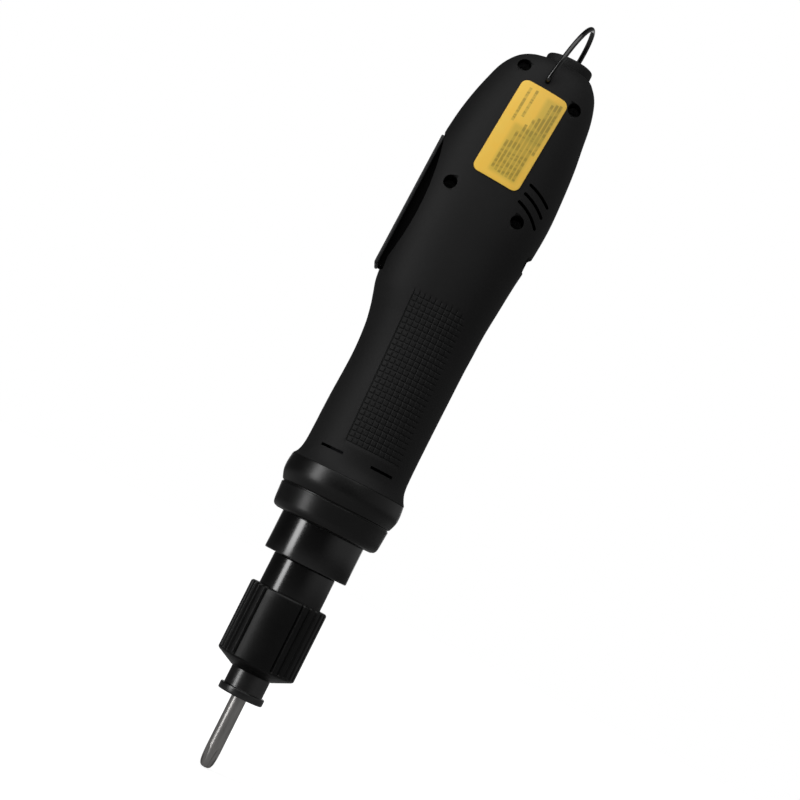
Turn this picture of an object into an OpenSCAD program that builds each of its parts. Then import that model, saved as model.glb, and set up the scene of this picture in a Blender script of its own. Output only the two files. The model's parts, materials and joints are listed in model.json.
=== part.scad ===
// Electric torque screwdriver: lever start, planetary gearbox, ball clutch set by a nut.
// The origin is on the tool's axis, in the plane of the metal collar's lower end.
// +Z runs towards the tail, the bit points along -Z, and the start lever is on the -X side.

/* [Bit] */
// Diameter of the bit's shank
bit_d = 5; // [4:0.1:6]
// Length of bit that stands out of the sleeve
bit_reach = 24; // [16:1:60]
// Length of the Phillips point
bit_tip = 6; // [4:0.5:9]
// Distance across the bit's two drive flats
bit_flats = 4; // [3:0.1:4.4]
// Length of the bit's flatted end
bit_drive = 5.6; // [3:0.2:7]

/* [Spindle and sleeve] */
// Diameter of the output spindle
spindle_d = 10; // [9:0.1:11]
// Diameter of the pilot that turns in the gearbox hub
pilot_d = 6; // [4:0.2:7]
// Diameter of the bit sleeve's body
sleeve_d = 13; // [12.6:0.1:13.2]
// Diameter of the bit sleeve's finger flange
sleeve_flange_d = 15; // [14:0.1:20]
// Height of the finger flange
sleeve_flange_h = 2.4; // [1.6:0.1:2.4]
// Length of sleeve that shows below the torque nut
sleeve_show = 8.2; // [7.4:0.1:9]
// How far the sleeve pulls back
sleeve_travel = 3; // [2:0.1:3]
// Diameter of the bit-retaining balls
bit_ball_d = 2.4; // [2:0.1:2.4]
// Wire of the sleeve's return spring
sleeve_wire = 0.45; // [0.3:0.05:0.5]

/* [Torque adjuster] */
// Diameter of the knurled torque nut
nut_d = 26; // [24:0.5:32]
// Length of the nut's straight part
nut_len = 23.4; // [20:0.2:26]
// Height of the cone at the nut's lower end
nut_cone = 2.9; // [2:0.1:4]
// Thickness of the nut's floor
nut_floor = 6; // [4:0.2:7]
// Depth of a knurl groove
knurl_depth = 0.6; // [0.2:0.05:0.8]
// Angle between neighbouring knurl grooves
knurl_pitch = 12; // [9:0.5:14]
// Grooves in each of the three knurled panels
knurl_grooves = 6; // [4:1:8]
// Turn of the knurled panels about the tool's axis
knurl_turn = -5; // [-15:1:15]
// Free length of thread above the nut at the set torque
nut_gap = 10.7; // [9.5:0.1:12]
// Wire of the torque spring
spring_wire = 1.6; // [1:0.1:1.8]
// Coils in the torque spring
spring_coils = 9; // [6:1:10]

/* [Neck and clutch] */
// Diameter of the threaded neck
neck_d = 20.9; // [20.4:0.1:22]
// Length of the threaded neck
neck_len = 21.7; // [21:0.1:22]
// Bore of the neck, in which the torque spring lies
neck_bore = 17.2; // [16.8:0.1:17.6]
// Diameter of the metal collar
collar_d = 28; // [27.6:0.1:28.4]
// Length of the collar below the nose cap
collar_len = 12.6; // [11:0.1:13.4]
// Diameter of the clutch balls
clutch_ball_d = 3.2; // [2.6:0.1:3.4]
// Radius of the circle that the clutch balls lie on
clutch_ball_r = 5.4; // [5.2:0.1:5.6]
// How far the clutch opens
clutch_travel = 1.2; // [0.8:0.1:1.2]

/* [Gearbox] */
// Gear module
gear_m = 0.5; // [0.48:0.01:0.5]
// Teeth on each sun gear
sun_teeth = 12; // [12:6:12]
// Teeth on each planet gear
planet_teeth = 15; // [15:6:15]
// Width of the planet gears
gear_w = 5; // [4:0.5:5]
// Tooth thinning on each flank
gear_backlash = 0.04; // [0.03:0.01:0.06]
// Diameter of the planet pins
planet_pin_d = 2.4; // [2:0.1:3]
// Outer diameter of the gearbox case
gearcase_d = 29.6; // [29.2:0.1:29.8]
// Bore of the gearbox case
gearcase_bore = 26; // [25.4:0.1:26.4]
// Outer diameter of the output bearing
bearing_d = 24; // [23:0.5:24.5]
// Bore of the output bearing
bearing_bore = 15; // [14.5:0.5:15.5]
// Width of the output bearing
bearing_w = 5; // [4.6:0.2:5]

/* [Motor] */
// Diameter of the motor can
motor_d = 28; // [26:0.5:28.4]
// Length of the motor can
motor_len = 45; // [42:1:47]
// Diameter of the motor shaft
shaft_d = 3; // [2.5:0.1:3.2]
// Air between the rotor core and the magnets
magnet_air = 0.48; // [0.3:0.02:0.8]
// Length of the rotor core
core_len = 22; // [18:1:24]
// Thickness of the magnets
magnet_t = 1.8; // [1.2:0.1:1.9]

/* [Housing] */
// Half depth of the head at its thickest
head_depth = 18.8; // [18:0.1:20]
// Wall of the housing
wall = 2.2; // [1.8:0.1:2.4]
// Air between the motor and the housing's skin
motor_space = 1; // [0.8:0.1:1.6]
// Skin of the nose cap over the housing's spigot
cap_wall = 3.3; // [3:0.1:4]
// Wall of the spigot that carries the nose cap
spigot_wall = 1.6; // [1.4:0.1:1.8]
// Length of the nose cap
cap_len = 17.2; // [16.8:0.1:17.6]
// Height of the tail boss above the shoulder
boss_h = 2.9; // [2:0.1:5]
// Outer diameter of the tail boss
boss_d = 15.6; // [15.4:0.1:18]
// Offset of the tail boss from the tool's axis
boss_x = 3.9; // [3:0.1:4.5]
// Diameter of the deep holes over the housing screws
screw_hole_d = 4.4; // [4:0.1:5]
// Diameter of the housing screws
screw_d = 2.4; // [2:0.1:2.8]

/* [Label and vents] */
// Width of the label plate
label_w = 17.2; // [12:0.2:19]
// Height of the label plate
label_h = 33; // [24:0.5:34]
// Thickness of the label plate
label_t = 0.4; // [0.3:0.1:0.8]
// Width of a vent slot
vent_w = 1; // [0.7:0.1:1.4]
// Radius of the outer vent slot
vent_r = 22.3; // [21:0.1:23]
// Width of the two low slots
slit_w = 8.5; // [6:0.5:9]
// Height of the two low slots
slit_h = 0.9; // [0.6:0.05:1]

/* [Start lever] */
// Length of the lever
lever_len = 45.5; // [43:0.5:46]
// Width of the lever
lever_w = 15; // [12:0.5:16]
// Thickness of the lever's sheet
lever_t = 1.25; // [1:0.05:1.5]
// Angle that the lever swings
lever_angle = 4; // [2:0.5:4]
// Diameter of the lever's pivot pin
lever_pin_d = 2; // [1.6:0.1:2.2]

/* [Direction switch] */
// Width of the switch's recess
dir_w = 17; // [15:0.5:18]
// Height of the switch's recess
dir_h = 5.6; // [5:0.1:7]
// How far the knob slides each way
dir_travel = 2.2; // [1.5:0.1:2.5]

/* [Hanging bail and connector] */
// Wire of the hanging bail
bail_wire = 1.6; // [1.4:0.1:2]
// Distance between the bail's legs
bail_w = 33; // [32:0.2:34]
// Height of the bail above its pivot
bail_h = 24.8; // [20:0.2:30]
// Lean of the bail towards +X as it hangs
bail_lean = 9; // [0:1:20]
// Turn of the bail's pivot axis about the tool's axis
bail_turn = 6; // [0:1:14]
// Bore of the connector shell
socket_d = 9.2; // [8.4:0.1:9.4]
// Pins in the connector
socket_pins = 5; // [3:1:6]

/* [Fits] */
// Radial running clearance of turning and sliding pieces
fit = 0.05; // [0.03:0.01:0.08]
// Clear gap between pieces that pass without touching
gap = 0.3; // [0.25:0.05:0.35]
// Gap at a seat where one fixed piece sits in another
seat = 0.02; // [0.01:0.01:0.03]

/* [Hidden] */
// Length of bit held inside the spindle, above the sleeve's lower end
bit_hold = 24.6;

$fn = 48;

// Heights of the torque adjuster, from the nut down to the bit
nut_top = -nut_gap;
nut_edge = nut_top - nut_len;
nut_bottom = nut_edge - nut_cone;
nut_seat = nut_bottom + nut_floor;
ring_h = 3;
ring_top = nut_seat + ring_h;
sleeve_bottom = nut_bottom - sleeve_show;
sleeve_top = nut_bottom + 1.7;
tip_z = sleeve_bottom - bit_reach;
bit_top = sleeve_bottom + bit_hold;
stem_bottom = sleeve_bottom + 0.8;
land_bottom = sleeve_bottom + 2;
land_top = land_bottom + 3.7;
bit_ball_z = land_bottom + 1.9;
bit_ball_x = bit_d / 2 + seat + bit_ball_d / 2;
ring_t = 0.6;

// Heights of the clutch and the gearbox
case_z0 = collar_len + 2;
bearing_z1 = case_z0 + 0.1;
bearing_z0 = bearing_z1 - bearing_w;
hub_z0 = bearing_z0 - 0.4;
clutch_ball_z = hub_z0 - 0.4;
plate_top = hub_z0 - 0.8;
plate_web = 2.8;
plate_bottom = plate_top - plate_web - 3;
washer_t = 1.2;
washer_bottom = plate_bottom - washer_t;
shoulder_z = plate_top - plate_web - clutch_travel - gap;
pilot_top = bearing_z1 - 1.4;
carrier_t = 2.2;
carrier2_z = bearing_z1 + 0.5;
planet2_z = carrier2_z + carrier_t + gap;
carrier1_z = planet2_z + gear_w + gap;
planet1_z = carrier1_z + carrier_t + gap;
motor_plate_z = planet1_z + gear_w + 0.7;
motor_plate_t = 2;
case_top = motor_plate_z + motor_plate_t + seat;
motor_z0 = case_top + seat;
motor_z1 = motor_z0 + motor_len;

// Gear pitch radii
ring_teeth = sun_teeth + 2 * planet_teeth;
sun_r = gear_m * sun_teeth / 2;
planet_r = gear_m * planet_teeth / 2;
ring_r = gear_m * ring_teeth / 2;
orbit_r = sun_r + planet_r;
carrier_r = ring_r - 0.9;
press = 25;
addendum = 0.8 * gear_m;
dedendum = 1.05 * gear_m;

// Bearing ball circle
bearing_mid = (bearing_d + bearing_bore) / 4;
bearing_ball_d = (bearing_d - bearing_bore) / 2 * 0.53;
bearing_balls_n = 11;

// Motor bore and commutator
can_wall = 1.2;
magnet_r = motor_d / 2 - can_wall - seat;
core_r = magnet_r - magnet_t - magnet_air;
slot_place = core_r - 3.9;
slot_r = 2.5;
commutator_r = 4;
brush_z = motor_z1 - 8;
brush_h = 5;

// Housing
cap_bottom = collar_len + seat;
cap_top = cap_bottom + cap_len;
spigot_r = gearcase_d / 2 + spigot_wall;
spigot_bore = gearcase_d / 2 + gap;
tail_z = 176.4;
boss_top = tail_z - 0.4 + boss_h;
grip_r = motor_d / 2 + motor_space + wall;
cap_r = spigot_r + cap_wall;
deep = head_depth;
// Stations of the housing: height, half width to -X, half width to +X, half depth, squareness
STATIONS = [
    [cap_top + seat, cap_r - 0.3, cap_r - 0.2, cap_r - 0.3, 2],
    [31.3, grip_r + 1.1, grip_r + 1.4, grip_r + 1.2, 2],
    [33.6, grip_r + 0.4, grip_r + 0.5, grip_r + 0.4, 2],
    [37, grip_r + 0.1, grip_r + 0.1, grip_r + 0.1, 2],
    [50, grip_r - 0.1, grip_r, grip_r, 2],
    [66, grip_r - 0.6, grip_r + 0.1, grip_r - 0.1, 2],
    [76, grip_r, grip_r + 0.2, grip_r, 2.03],
    [82, grip_r + 1.1, grip_r + 0.4, grip_r + 0.3, 2.1],
    [86, grip_r + 2.2, grip_r + 0.5, deep * 0.945, 2.2],
    [90, grip_r + 3.3, grip_r + 0.7, deep * 0.955, 2.3],
    [97, 21.2, 18.5, deep * 0.97, 2.35],
    [107, 21.6, 19.4, deep * 0.985, 2.4],
    [118, 22, 20.7, deep, 2.4],
    [128, 22.2, 21.3, deep * 0.995, 2.4],
    [138, 22, 21, deep * 0.975, 2.4],
    [148, 21, 20.3, deep * 0.94, 2.4],
    [156, 19.5, 19.3, deep * 0.9, 2.35],
    [163, 17.6, 18.4, deep * 0.845, 2.3],
    [168, 15.9, 17.2, deep * 0.79, 2.25],
    [171.5, 13.8, 15.8, deep * 0.72, 2.2],
    [174, 11.4, 14, deep * 0.62, 2.1],
    [175.7, 8.2, 12.2, deep * 0.47, 2],
    [tail_z, 4.6, 9.6, deep * 0.3, 2]];
LAST = len(STATIONS) - 1;

slit_z = 35.5;

// Screws that join the two halves: [x, z]
SCREWS = [[-8.5, 169.4], [11.6, 163.3], [-12.7, 125.6], [11.3, 123.4]];
screw_head_y = -4;
screw_end_y = 7.5;
column_r = screw_hole_d / 2 + 0.7;

// Label and vents, in the plane of the screws
label_mid = [0.25, 148.1];
label_lean = 4;
vent_mid = [5.1, 113.8];
vent_step = 3.15;
// Start and end angle of each vent, from the outermost in
VENTS = [[56, 77.3], [50.4, 76.2], [42, 75.7]];

// Lever
lever_z1 = 139.2;
lever_z0 = lever_z1 - lever_len;
lever_pivot = [-18.8, 0, 136.6];
lever_top_x = -22;
lever_end_x = -23.1;
pocket_y = lever_w / 2 + gap;
skirt_y = lever_w / 2 - 1.3;
skirt_t = 1;
skirt_x = -17.2;
slot_y = skirt_y + gap;
slot_floor = -14;
slot_upper = -16;
slot_step = 121;
pocket_wall = 2;
scallop_r = 85;
scallop_x = -17.9;
scallop_z = 116;
switch_z = 110;
plunger_d = 2.4;
plunger_tip = -19.6;
spring_z = 101;
spring_post_d = 2.8;

// Direction switch
dir_z = 114.6;
dir_floor = 17.6;
dir_stem_y = 1.5;
dir_stem_z = 1;
dir_wall = 2;

// Bail and connector
bail_pivot = [1.9, 0, 167.4];
bail_stub = 4.6;
bail_bend = 1.3;
eye_boss_d = bail_wire + 3;
shell_wall = 0.4;
shell_r = socket_d / 2 + shell_wall;
shell_bottom = 160;

// Board
board_y = 4;
board_t = 1.2;
board_z = [133, 157.8];
board_x = [-9, 9];
lead_r = 0.65;
lead_bow = 7.2;
POSTS = [[-6, 137], [6, 137], [-6, 154], [6, 154]];

black_plastic = "#1c1c1d";
gloss_black = "#0b0b0c";
black_steel = "#141416";
steel = "#b9bbbd";

// ---- Helpers ----

// Value of a station's column at height z, joined smoothly from station to station
function slope(i, k) = let (a = max(i - 1, 0), b = min(i + 1, LAST))
    (STATIONS[b][k] - STATIONS[a][k]) / (STATIONS[b][0] - STATIONS[a][0]);
function smooth(i, t, k) = let (h = STATIONS[i + 1][0] - STATIONS[i][0])
    (2 * t * t * t - 3 * t * t + 1) * STATIONS[i][k]
    + (t * t * t - 2 * t * t + t) * h * slope(i, k)
    + (3 * t * t - 2 * t * t * t) * STATIONS[i + 1][k]
    + (t * t * t - t * t) * h * slope(i + 1, k);
function span(z, i = 0) = i >= LAST - 1 || z < STATIONS[i + 1][0] ? i : span(z, i + 1);
function form(z, k) = let (i = span(z),
    t = (z - STATIONS[i][0]) / (STATIONS[i + 1][0] - STATIONS[i][0])) smooth(i, t, k);

// Heights of the rings between two stations, a few in each stretch
function levels(i0, i1, per) = concat([for (i = [i0 : i1 - 1], j = [0 : per - 1])
    STATIONS[i][0] + (STATIONS[i + 1][0] - STATIONS[i][0]) * j / per], [STATIONS[i1][0]]);

// A point of the housing's outline at height z and angle a, moved inwards by inset
function power(v, e) = sign(v) * pow(abs(v), e);
function outline(z, a, inset) = let (l = form(z, 1) - inset, r = form(z, 2) - inset,
    d = form(z, 3) - inset, e = 2 / form(z, 4))
    [(r - l) / 2 + (r + l) / 2 * power(cos(a), e), d * power(sin(a), e), z];

// Height of the housing's front surface at x and z, as a negative y
function front_y(x, z) = let (l = form(z, 1), r = form(z, 2), n = form(z, 4))
    -form(z, 3) * pow(1 - pow(abs(x - (r - l) / 2) / ((r + l) / 2), n), 1 / n);

// A closed solid through rings of equal numbers of points
module rings(list) {
    n = len(list[0]);
    m = len(list);
    points = [for (ring = list, p = ring) p];
    sides = [for (i = [0 : m - 2], j = [0 : n - 1]) let (k = (j + 1) % n)
        each [[i * n + j, (i + 1) * n + j, (i + 1) * n + k], [i * n + j, (i + 1) * n + k, i * n + k]]];
    ends = [[for (j = [0 : n - 1]) j], [for (j = [n - 1 : -1 : 0]) (m - 1) * n + j]];
    polyhedron(points, concat(sides, ends), convexity = 8);
}

// The housing's outer or inner form
module form_solid(zs, inset, n) {
    rings([for (z = zs) [for (j = [0 : n - 1]) outline(z, 360 * (j + 0.5) / n, inset)]]);
}

// A round wire along a path; no stretch of it runs along the direction across
module wire(path, r, across, sides = 6) {
    m = len(path) - 1;
    rings([for (i = [0 : m])
        let (t = path[min(i + 1, m)] - path[max(i - 1, 0)],
            u = cross(t, across) / norm(cross(t, across)),
            v = cross(t, u) / norm(t))
        [for (j = [0 : sides - 1]) path[i] + r * (cos(360 * j / sides) * u + sin(360 * j / sides) * v)]]);
}

// Height of a coil spring's wire after t turns: the end turns lie close
function coil_z(t, turns, h, w) = let (close = 1.1 * w, rest = (h - w - 2 * close) / (turns - 2))
    w / 2 + (t < 1 ? close * t : t > turns - 1 ? h - w - close * (turns - t) : close + rest * (t - 1));
module coil_spring(r, w, turns, h, per = 18, sides = 6) {
    wire([for (i = [0 : turns * per]) let (t = i / per)
        [(r - w / 2) * cos(360 * t), (r - w / 2) * sin(360 * t), coil_z(t, turns, h, w)]],
        w / 2, [0, 0, 1], sides);
}

// A tube or disc from z0 to z1
module tube(r, bore, z0, z1) {
    difference() {
        translate([0, 0, z0]) cylinder(r = r, h = z1 - z0);
        if (bore > 0) translate([0, 0, z0 - 1]) cylinder(r = bore, h = z1 - z0 + 2);
    }
}

// A rod along Y from y0 to y1, and one along X from x0 to x1
module rod_y(x, z, r, y0, y1) {
    translate([x, y1, z]) rotate([90, 0, 0]) cylinder(r = r, h = y1 - y0);
}
module rod_x(y, z, r, x0, x1) {
    translate([x0, y, z]) rotate([0, 90, 0]) cylinder(r = r, h = x1 - x0);
}

// A box between two corners
module block(a, b) {
    translate(a) cube(b - a);
}

// Gear outline of involute flanks; thin takes metal off each flank
function involute(base, r) = let (q = sqrt(pow(r / base, 2) - 1)) q * 180 / PI - atan(q);
function flank_angle(r, pitch, teeth, thin) = let (base = pitch * cos(press), rr = max(r, base))
    90 / teeth - thin / pitch * 180 / PI + involute(base, pitch) - involute(base, rr);
module gear_outline(teeth, tip, root, thin, steps = 5) {
    pitch = gear_m * teeth / 2;
    base = pitch * cos(press);
    low = max(base, root);
    radii = concat([root], [for (i = [0 : steps]) low + (tip - low) * i / steps]);
    polygon([for (k = [0 : teeth - 1]) let (c = 360 * k / teeth) each concat(
        [for (i = [0 : steps + 1]) let (a = c - flank_angle(radii[i], pitch, teeth, thin))
            radii[i] * [cos(a), sin(a)]],
        [for (i = [steps + 1 : -1 : 0]) let (a = c + flank_angle(radii[i], pitch, teeth, thin))
            radii[i] * [cos(a), sin(a)]])]);
}
module spur_gear(teeth, w) {
    pitch = gear_m * teeth / 2;
    linear_extrude(w) gear_outline(teeth, pitch + addendum, pitch - dedendum, gear_backlash);
}

// ---- Housing ----

module cavity() {
    difference() {
        form_solid(levels(1, LAST - 3, 1), wall, 28);
        for (s = SCREWS) rod_y(s[0], s[1], column_r, -40, 40);
        for (h = [0.2, 0.55, 0.92]) translate([0, 0, motor_z0 + motor_len * h])
            difference() {
                cylinder(r = 30, h = 2);
                translate([0, 0, -1]) cylinder(r = motor_d / 2 + fit, h = 4);
            }
        block([-40, -slot_y - pocket_wall, lever_z0 - 3],
            [slot_floor + pocket_wall, slot_y + pocket_wall, slot_step + pocket_wall]);
        block([-40, -slot_y - pocket_wall, slot_step],
            [slot_upper + pocket_wall, slot_y + pocket_wall, lever_z1 + 3]);
        rod_y(scallop_x - scallop_r, scallop_z, scallop_r + wall, -40, 40);
        block([dir_floor - dir_wall, -dir_w / 2 - 2, dir_z - dir_h / 2 - 2],
            [40, dir_w / 2 + 2, dir_z + dir_h / 2 + 2]);
        for (p = POSTS) rod_y(p[0], p[1], 2, board_y + board_t + seat, 40);
        bail_eyes(eye_boss_d / 2, 1.4);
        translate([boss_x, 0, shell_bottom - 2]) cylinder(r = shell_r + 1.6, h = 30);
    }
}

// Rods on the bail's axis, from past its stubs outwards
module bail_eyes(r, past) {
    start = bail_w / 2 - bail_stub - past;
    translate(bail_pivot) rotate([0, 0, -bail_turn]) for (s = [-1, 1])
        rod_y(0, 0, r, s > 0 ? start : -40, s > 0 ? 40 : -start);
}

module lever_room() {
    block([-40, -pocket_y, lever_z0 - 0.8], [-20.6, pocket_y, lever_z1 + 0.3]);
    block([-40, -pocket_y, lever_z0 - 0.8], [-18.2, pocket_y, lever_z0 + 16]);
    block([-40, -slot_y, lever_z0 - 0.8], [slot_floor, slot_y, slot_step]);
    block([-40, -slot_y, slot_step - 1], [slot_upper, slot_y, lever_z1 + 0.3]);
    rod_y(scallop_x - scallop_r, scallop_z, scallop_r, -40, 40);
    rod_y(lever_pivot[0], lever_pivot[2], lever_pin_d / 2 + seat, -slot_y - 2.4, slot_y + 2.4);
    rod_x(0, switch_z, plunger_d / 2 + fit, slot_floor - 1, slot_floor + pocket_wall + 1);
}

module switch_room() {
    block([dir_floor, dir_h / 2 - dir_w / 2, dir_z - dir_h / 2],
        [40, dir_w / 2 - dir_h / 2, dir_z + dir_h / 2]);
    for (s = [-1, 1]) rod_x(s * (dir_w - dir_h) / 2, dir_z, dir_h / 2, dir_floor, 40);
    block([dir_floor - dir_wall - 1, -dir_stem_y - dir_travel - gap, dir_z - dir_stem_z - gap],
        [dir_floor + 1, dir_stem_y + dir_travel + gap, dir_z + dir_stem_z + gap]);
}

module vents() {
    for (k = [0 : len(VENTS) - 1]) let (r = vent_r - vent_step * k, a = VENTS[k][0], b = VENTS[k][1])
        translate([vent_mid[0], -6, vent_mid[1]]) rotate([90, 0, 0]) {
            rotate([0, 0, a]) rotate_extrude(angle = b - a)
                translate([r - vent_w / 2, 0]) square([vent_w, 22]);
            for (c = [a, b]) rotate([0, 0, c]) translate([r, 0, 0]) cylinder(r = vent_w / 2, h = 22);
        }
}

module housing_half(side) {
    difference() {
        union() {
            form_solid(levels(0, LAST, 2), 0, 44);
            translate([boss_x, 0, tail_z - 6]) rotate_extrude() difference() {
                square([boss_d / 2, boss_top - tail_z + 6]);
                translate([boss_d / 2 - 1, boss_top - tail_z + 5]) difference() {
                    square([2, 2]);
                    circle(r = 1);
                }
            }
            translate([0, 0, cap_top - 9.7]) cylinder(r = spigot_r, h = 10.2);
        }
        cavity();
        translate([0, 0, cap_top - 11]) cylinder(r = spigot_bore, h = 14);
        lever_room();
        switch_room();
        translate([boss_x, 0, shell_bottom]) cylinder(r = shell_r + seat, h = 40);
        translate([boss_x, 0, shell_bottom - 4]) cylinder(r = shell_r - 1, h = 10);
        bail_eyes(bail_wire / 2 + fit, gap);
        for (s = SCREWS) {
            rod_y(s[0], s[1], screw_hole_d / 2, -40, screw_head_y);
            rod_y(s[0], s[1], screw_d / 2 + seat, screw_head_y - 1, screw_end_y + 0.5);
        }
        for (a = [-30, 30]) rotate([0, 0, a]) translate([-slit_w / 2, side > 0 ? 8 : -30, slit_z])
            cube([slit_w, 22, slit_h]);
        block([-60, side > 0 ? -60 : 0, 0], [60, side > 0 ? 0 : 60, 300]);
        children();
    }
}
module housing_front() {
    color(black_plastic) housing_half(-1) vents();
}
module housing_rear() {
    color(black_plastic) housing_half(1);
}
module housing_screws() {
    color(steel) for (s = SCREWS) difference() {
        union() {
            rod_y(s[0], s[1], screw_hole_d / 2 - 0.15, screw_head_y - 1.8 - seat, screw_head_y - seat);
            rod_y(s[0], s[1], screw_d / 2, screw_head_y - 1, screw_end_y);
        }
        for (a = [0, 90]) translate([s[0], screw_head_y - 1.8, s[1]]) rotate([0, a, 0])
            cube([screw_d, 2, 0.5], center = true);
    }
}

module label_plate() {
    n = 12;
    corner = 2;
    low = 0.06;
    function place(u, v) = label_mid + [u * cos(label_lean) + v * sin(label_lean),
        v * cos(label_lean) - u * sin(label_lean)];
    function face(i, j, t) = let (p = place(label_w * (i / n - 0.5) * 1.02, label_h * (j / n - 0.5) * 1.01))
        [p[0], front_y(p[0], p[1]) - t, p[1]];
    color("#dfc24a") intersection() {
        rings([for (i = [0 : n]) concat([for (j = [0 : n]) face(i, j, low)],
            [for (j = [n : -1 : 0]) face(i, j, low + label_t)])]);
        translate([label_mid[0], 0, label_mid[1]]) rotate([90, label_lean, 0]) linear_extrude(30) union() {
            square([label_w - 2 * corner, label_h], center = true);
            square([label_w, label_h - 2 * corner], center = true);
            for (i = [-1, 1], j = [-1, 1])
                translate([i * (label_w / 2 - corner), j * (label_h / 2 - corner)]) circle(r = corner);
        }
    }
}

module nose_cap() {
    r = cap_r;
    h = cap_len;
    color(gloss_black) difference() {
        translate([0, 0, cap_bottom]) rotate_extrude() polygon([[0, 0], [r - 4, 0], [r - 2.9, 0.03 * h],
            [r - 2.2, 0.08 * h], [r - 1.8, 0.15 * h], [r - 1.6, 0.26 * h], [r - 1.45, 0.4 * h],
            [r - 1.4, 0.465 * h], [r - 1.75, 0.475 * h], [r - 1.75, 0.495 * h], [r - 1.3, 0.51 * h],
            [r - 0.85, 0.56 * h], [r - 0.35, 0.63 * h], [r - 0.08, 0.7 * h], [r, 0.78 * h],
            [r - 0.1, 0.87 * h], [r - 0.25, 0.94 * h], [r - 0.4, h], [0, h]]);
        translate([0, 0, cap_bottom - 1]) cylinder(r = collar_d / 2 - 0.2 + seat, h = 30);
        translate([0, 0, case_z0 - seat]) cylinder(r = gearcase_d / 2 + seat, h = 30);
        translate([0, 0, cap_top - 10]) cylinder(r = spigot_r + seat, h = 30);
    }
}

// ---- Clutch housing and gearbox ----

module clutch_housing() {
    color(black_steel) difference() {
        union() {
            tube(neck_d / 2, 0, -neck_len, 1);
            tube(collar_d / 2, 0, 0, collar_len);
            tube(collar_d / 2 - 0.2, 0, collar_len - 1, case_z0 + 1);
            tube(gearcase_d / 2, 0, case_z0, case_top);
        }
        translate([0, 0, -neck_len - 1]) cylinder(r = neck_bore / 2, h = neck_len + bearing_z0 + 2);
        translate([0, 0, bearing_z0]) cylinder(r = bearing_d / 2 + seat, h = 20);
        translate([0, 0, bearing_z1]) cylinder(r = gearcase_bore / 2, h = 40);
    }
}

module ring_gear() {
    color("#8f9193") translate([0, 0, carrier2_z + carrier_t + 0.1]) difference() {
        cylinder(r = gearcase_bore / 2 - seat, h = motor_plate_z - carrier2_z - carrier_t - 0.1 - seat);
        translate([0, 0, -1]) linear_extrude(30)
            gear_outline(ring_teeth, ring_r + dedendum, ring_r - addendum, -gear_backlash);
    }
}

module spin3(k) {
    rotate([0, 0, 120 * k]) translate([orbit_r, 0, 0]) children();
}
module planet(z, k) {
    color("#a7a9ab") translate([0, 0, z]) spin3(k) difference() {
        spur_gear(planet_teeth, gear_w);
        translate([0, 0, -1]) cylinder(r = planet_pin_d / 2 + fit, h = gear_w + 2);
    }
}
module planet_pins(z) {
    for (k = [0 : 2]) spin3(k) translate([0, 0, z + carrier_t / 2])
        cylinder(r = planet_pin_d / 2, h = carrier_t / 2 + gear_w + 0.1);
}

module carrier_1() {
    color("#9a9c9e") difference() {
        union() {
            tube(carrier_r, 0, carrier1_z, carrier1_z + carrier_t);
            planet_pins(carrier1_z);
        }
        translate([0, 0, carrier1_z - 1]) cylinder(r = 2 + seat, h = 5);
    }
}
module second_sun() {
    color("#c3a24e") union() {
        translate([0, 0, planet2_z]) spur_gear(sun_teeth, gear_w + gap - seat);
        tube(2, 0, planet2_z + gear_w, carrier1_z + carrier_t - seat);
    }
}
module sun_pinion() {
    color("#c3a24e") translate([0, 0, planet1_z]) difference() {
        spur_gear(sun_teeth, gear_w + 0.4);
        translate([0, 0, -1]) cylinder(r = shaft_d / 2 + seat, h = gear_w + 3);
    }
}
module planet_1a() { planet(planet1_z, 0); }
module planet_1b() { planet(planet1_z, 1); }
module planet_1c() { planet(planet1_z, 2); }
module planet_2a() { planet(planet2_z, 0); }
module planet_2b() { planet(planet2_z, 1); }
module planet_2c() { planet(planet2_z, 2); }

module carrier_2() {
    color("#9a9c9e") difference() {
        union() {
            tube(bearing_bore / 2 - seat, 0, hub_z0, carrier2_z + 0.5);
            tube(carrier_r, 0, carrier2_z, carrier2_z + carrier_t);
            planet_pins(carrier2_z);
        }
        translate([0, 0, hub_z0 - 1]) cylinder(r = pilot_d / 2 + fit, h = pilot_top - hub_z0 + 1 + gap);
        clutch_pockets();
    }
}

// ---- Output bearing ----

module bearing_groove() {
    translate([0, 0, (bearing_z0 + bearing_z1) / 2]) rotate_extrude() translate([bearing_mid, 0])
        circle(r = bearing_ball_d / 2 + fit);
}
module bearing_outer_race() {
    color(steel) difference() {
        tube(bearing_d / 2, bearing_mid + bearing_ball_d * 0.36, bearing_z0 + seat, bearing_z1 - seat);
        bearing_groove();
    }
}
module bearing_inner_race() {
    color(steel) difference() {
        tube(bearing_mid - bearing_ball_d * 0.36, bearing_bore / 2, bearing_z0 + seat, bearing_z1 - seat);
        bearing_groove();
    }
}
module bearing_ring(r) {
    for (k = [0 : bearing_balls_n - 1]) rotate([0, 0, 360 * k / bearing_balls_n])
        translate([bearing_mid, 0, (bearing_z0 + bearing_z1) / 2]) sphere(r = r);
}
module bearing_balls() {
    color("#d6d8da") bearing_ring(bearing_ball_d / 2);
}
module bearing_cage() {
    color("#b08d4a") difference() {
        tube(bearing_mid + 0.45, bearing_mid - 0.45, bearing_z0 + 0.8, bearing_z1 - 0.8);
        bearing_ring(bearing_ball_d / 2 + fit);
    }
}

// ---- Clutch ----

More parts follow.
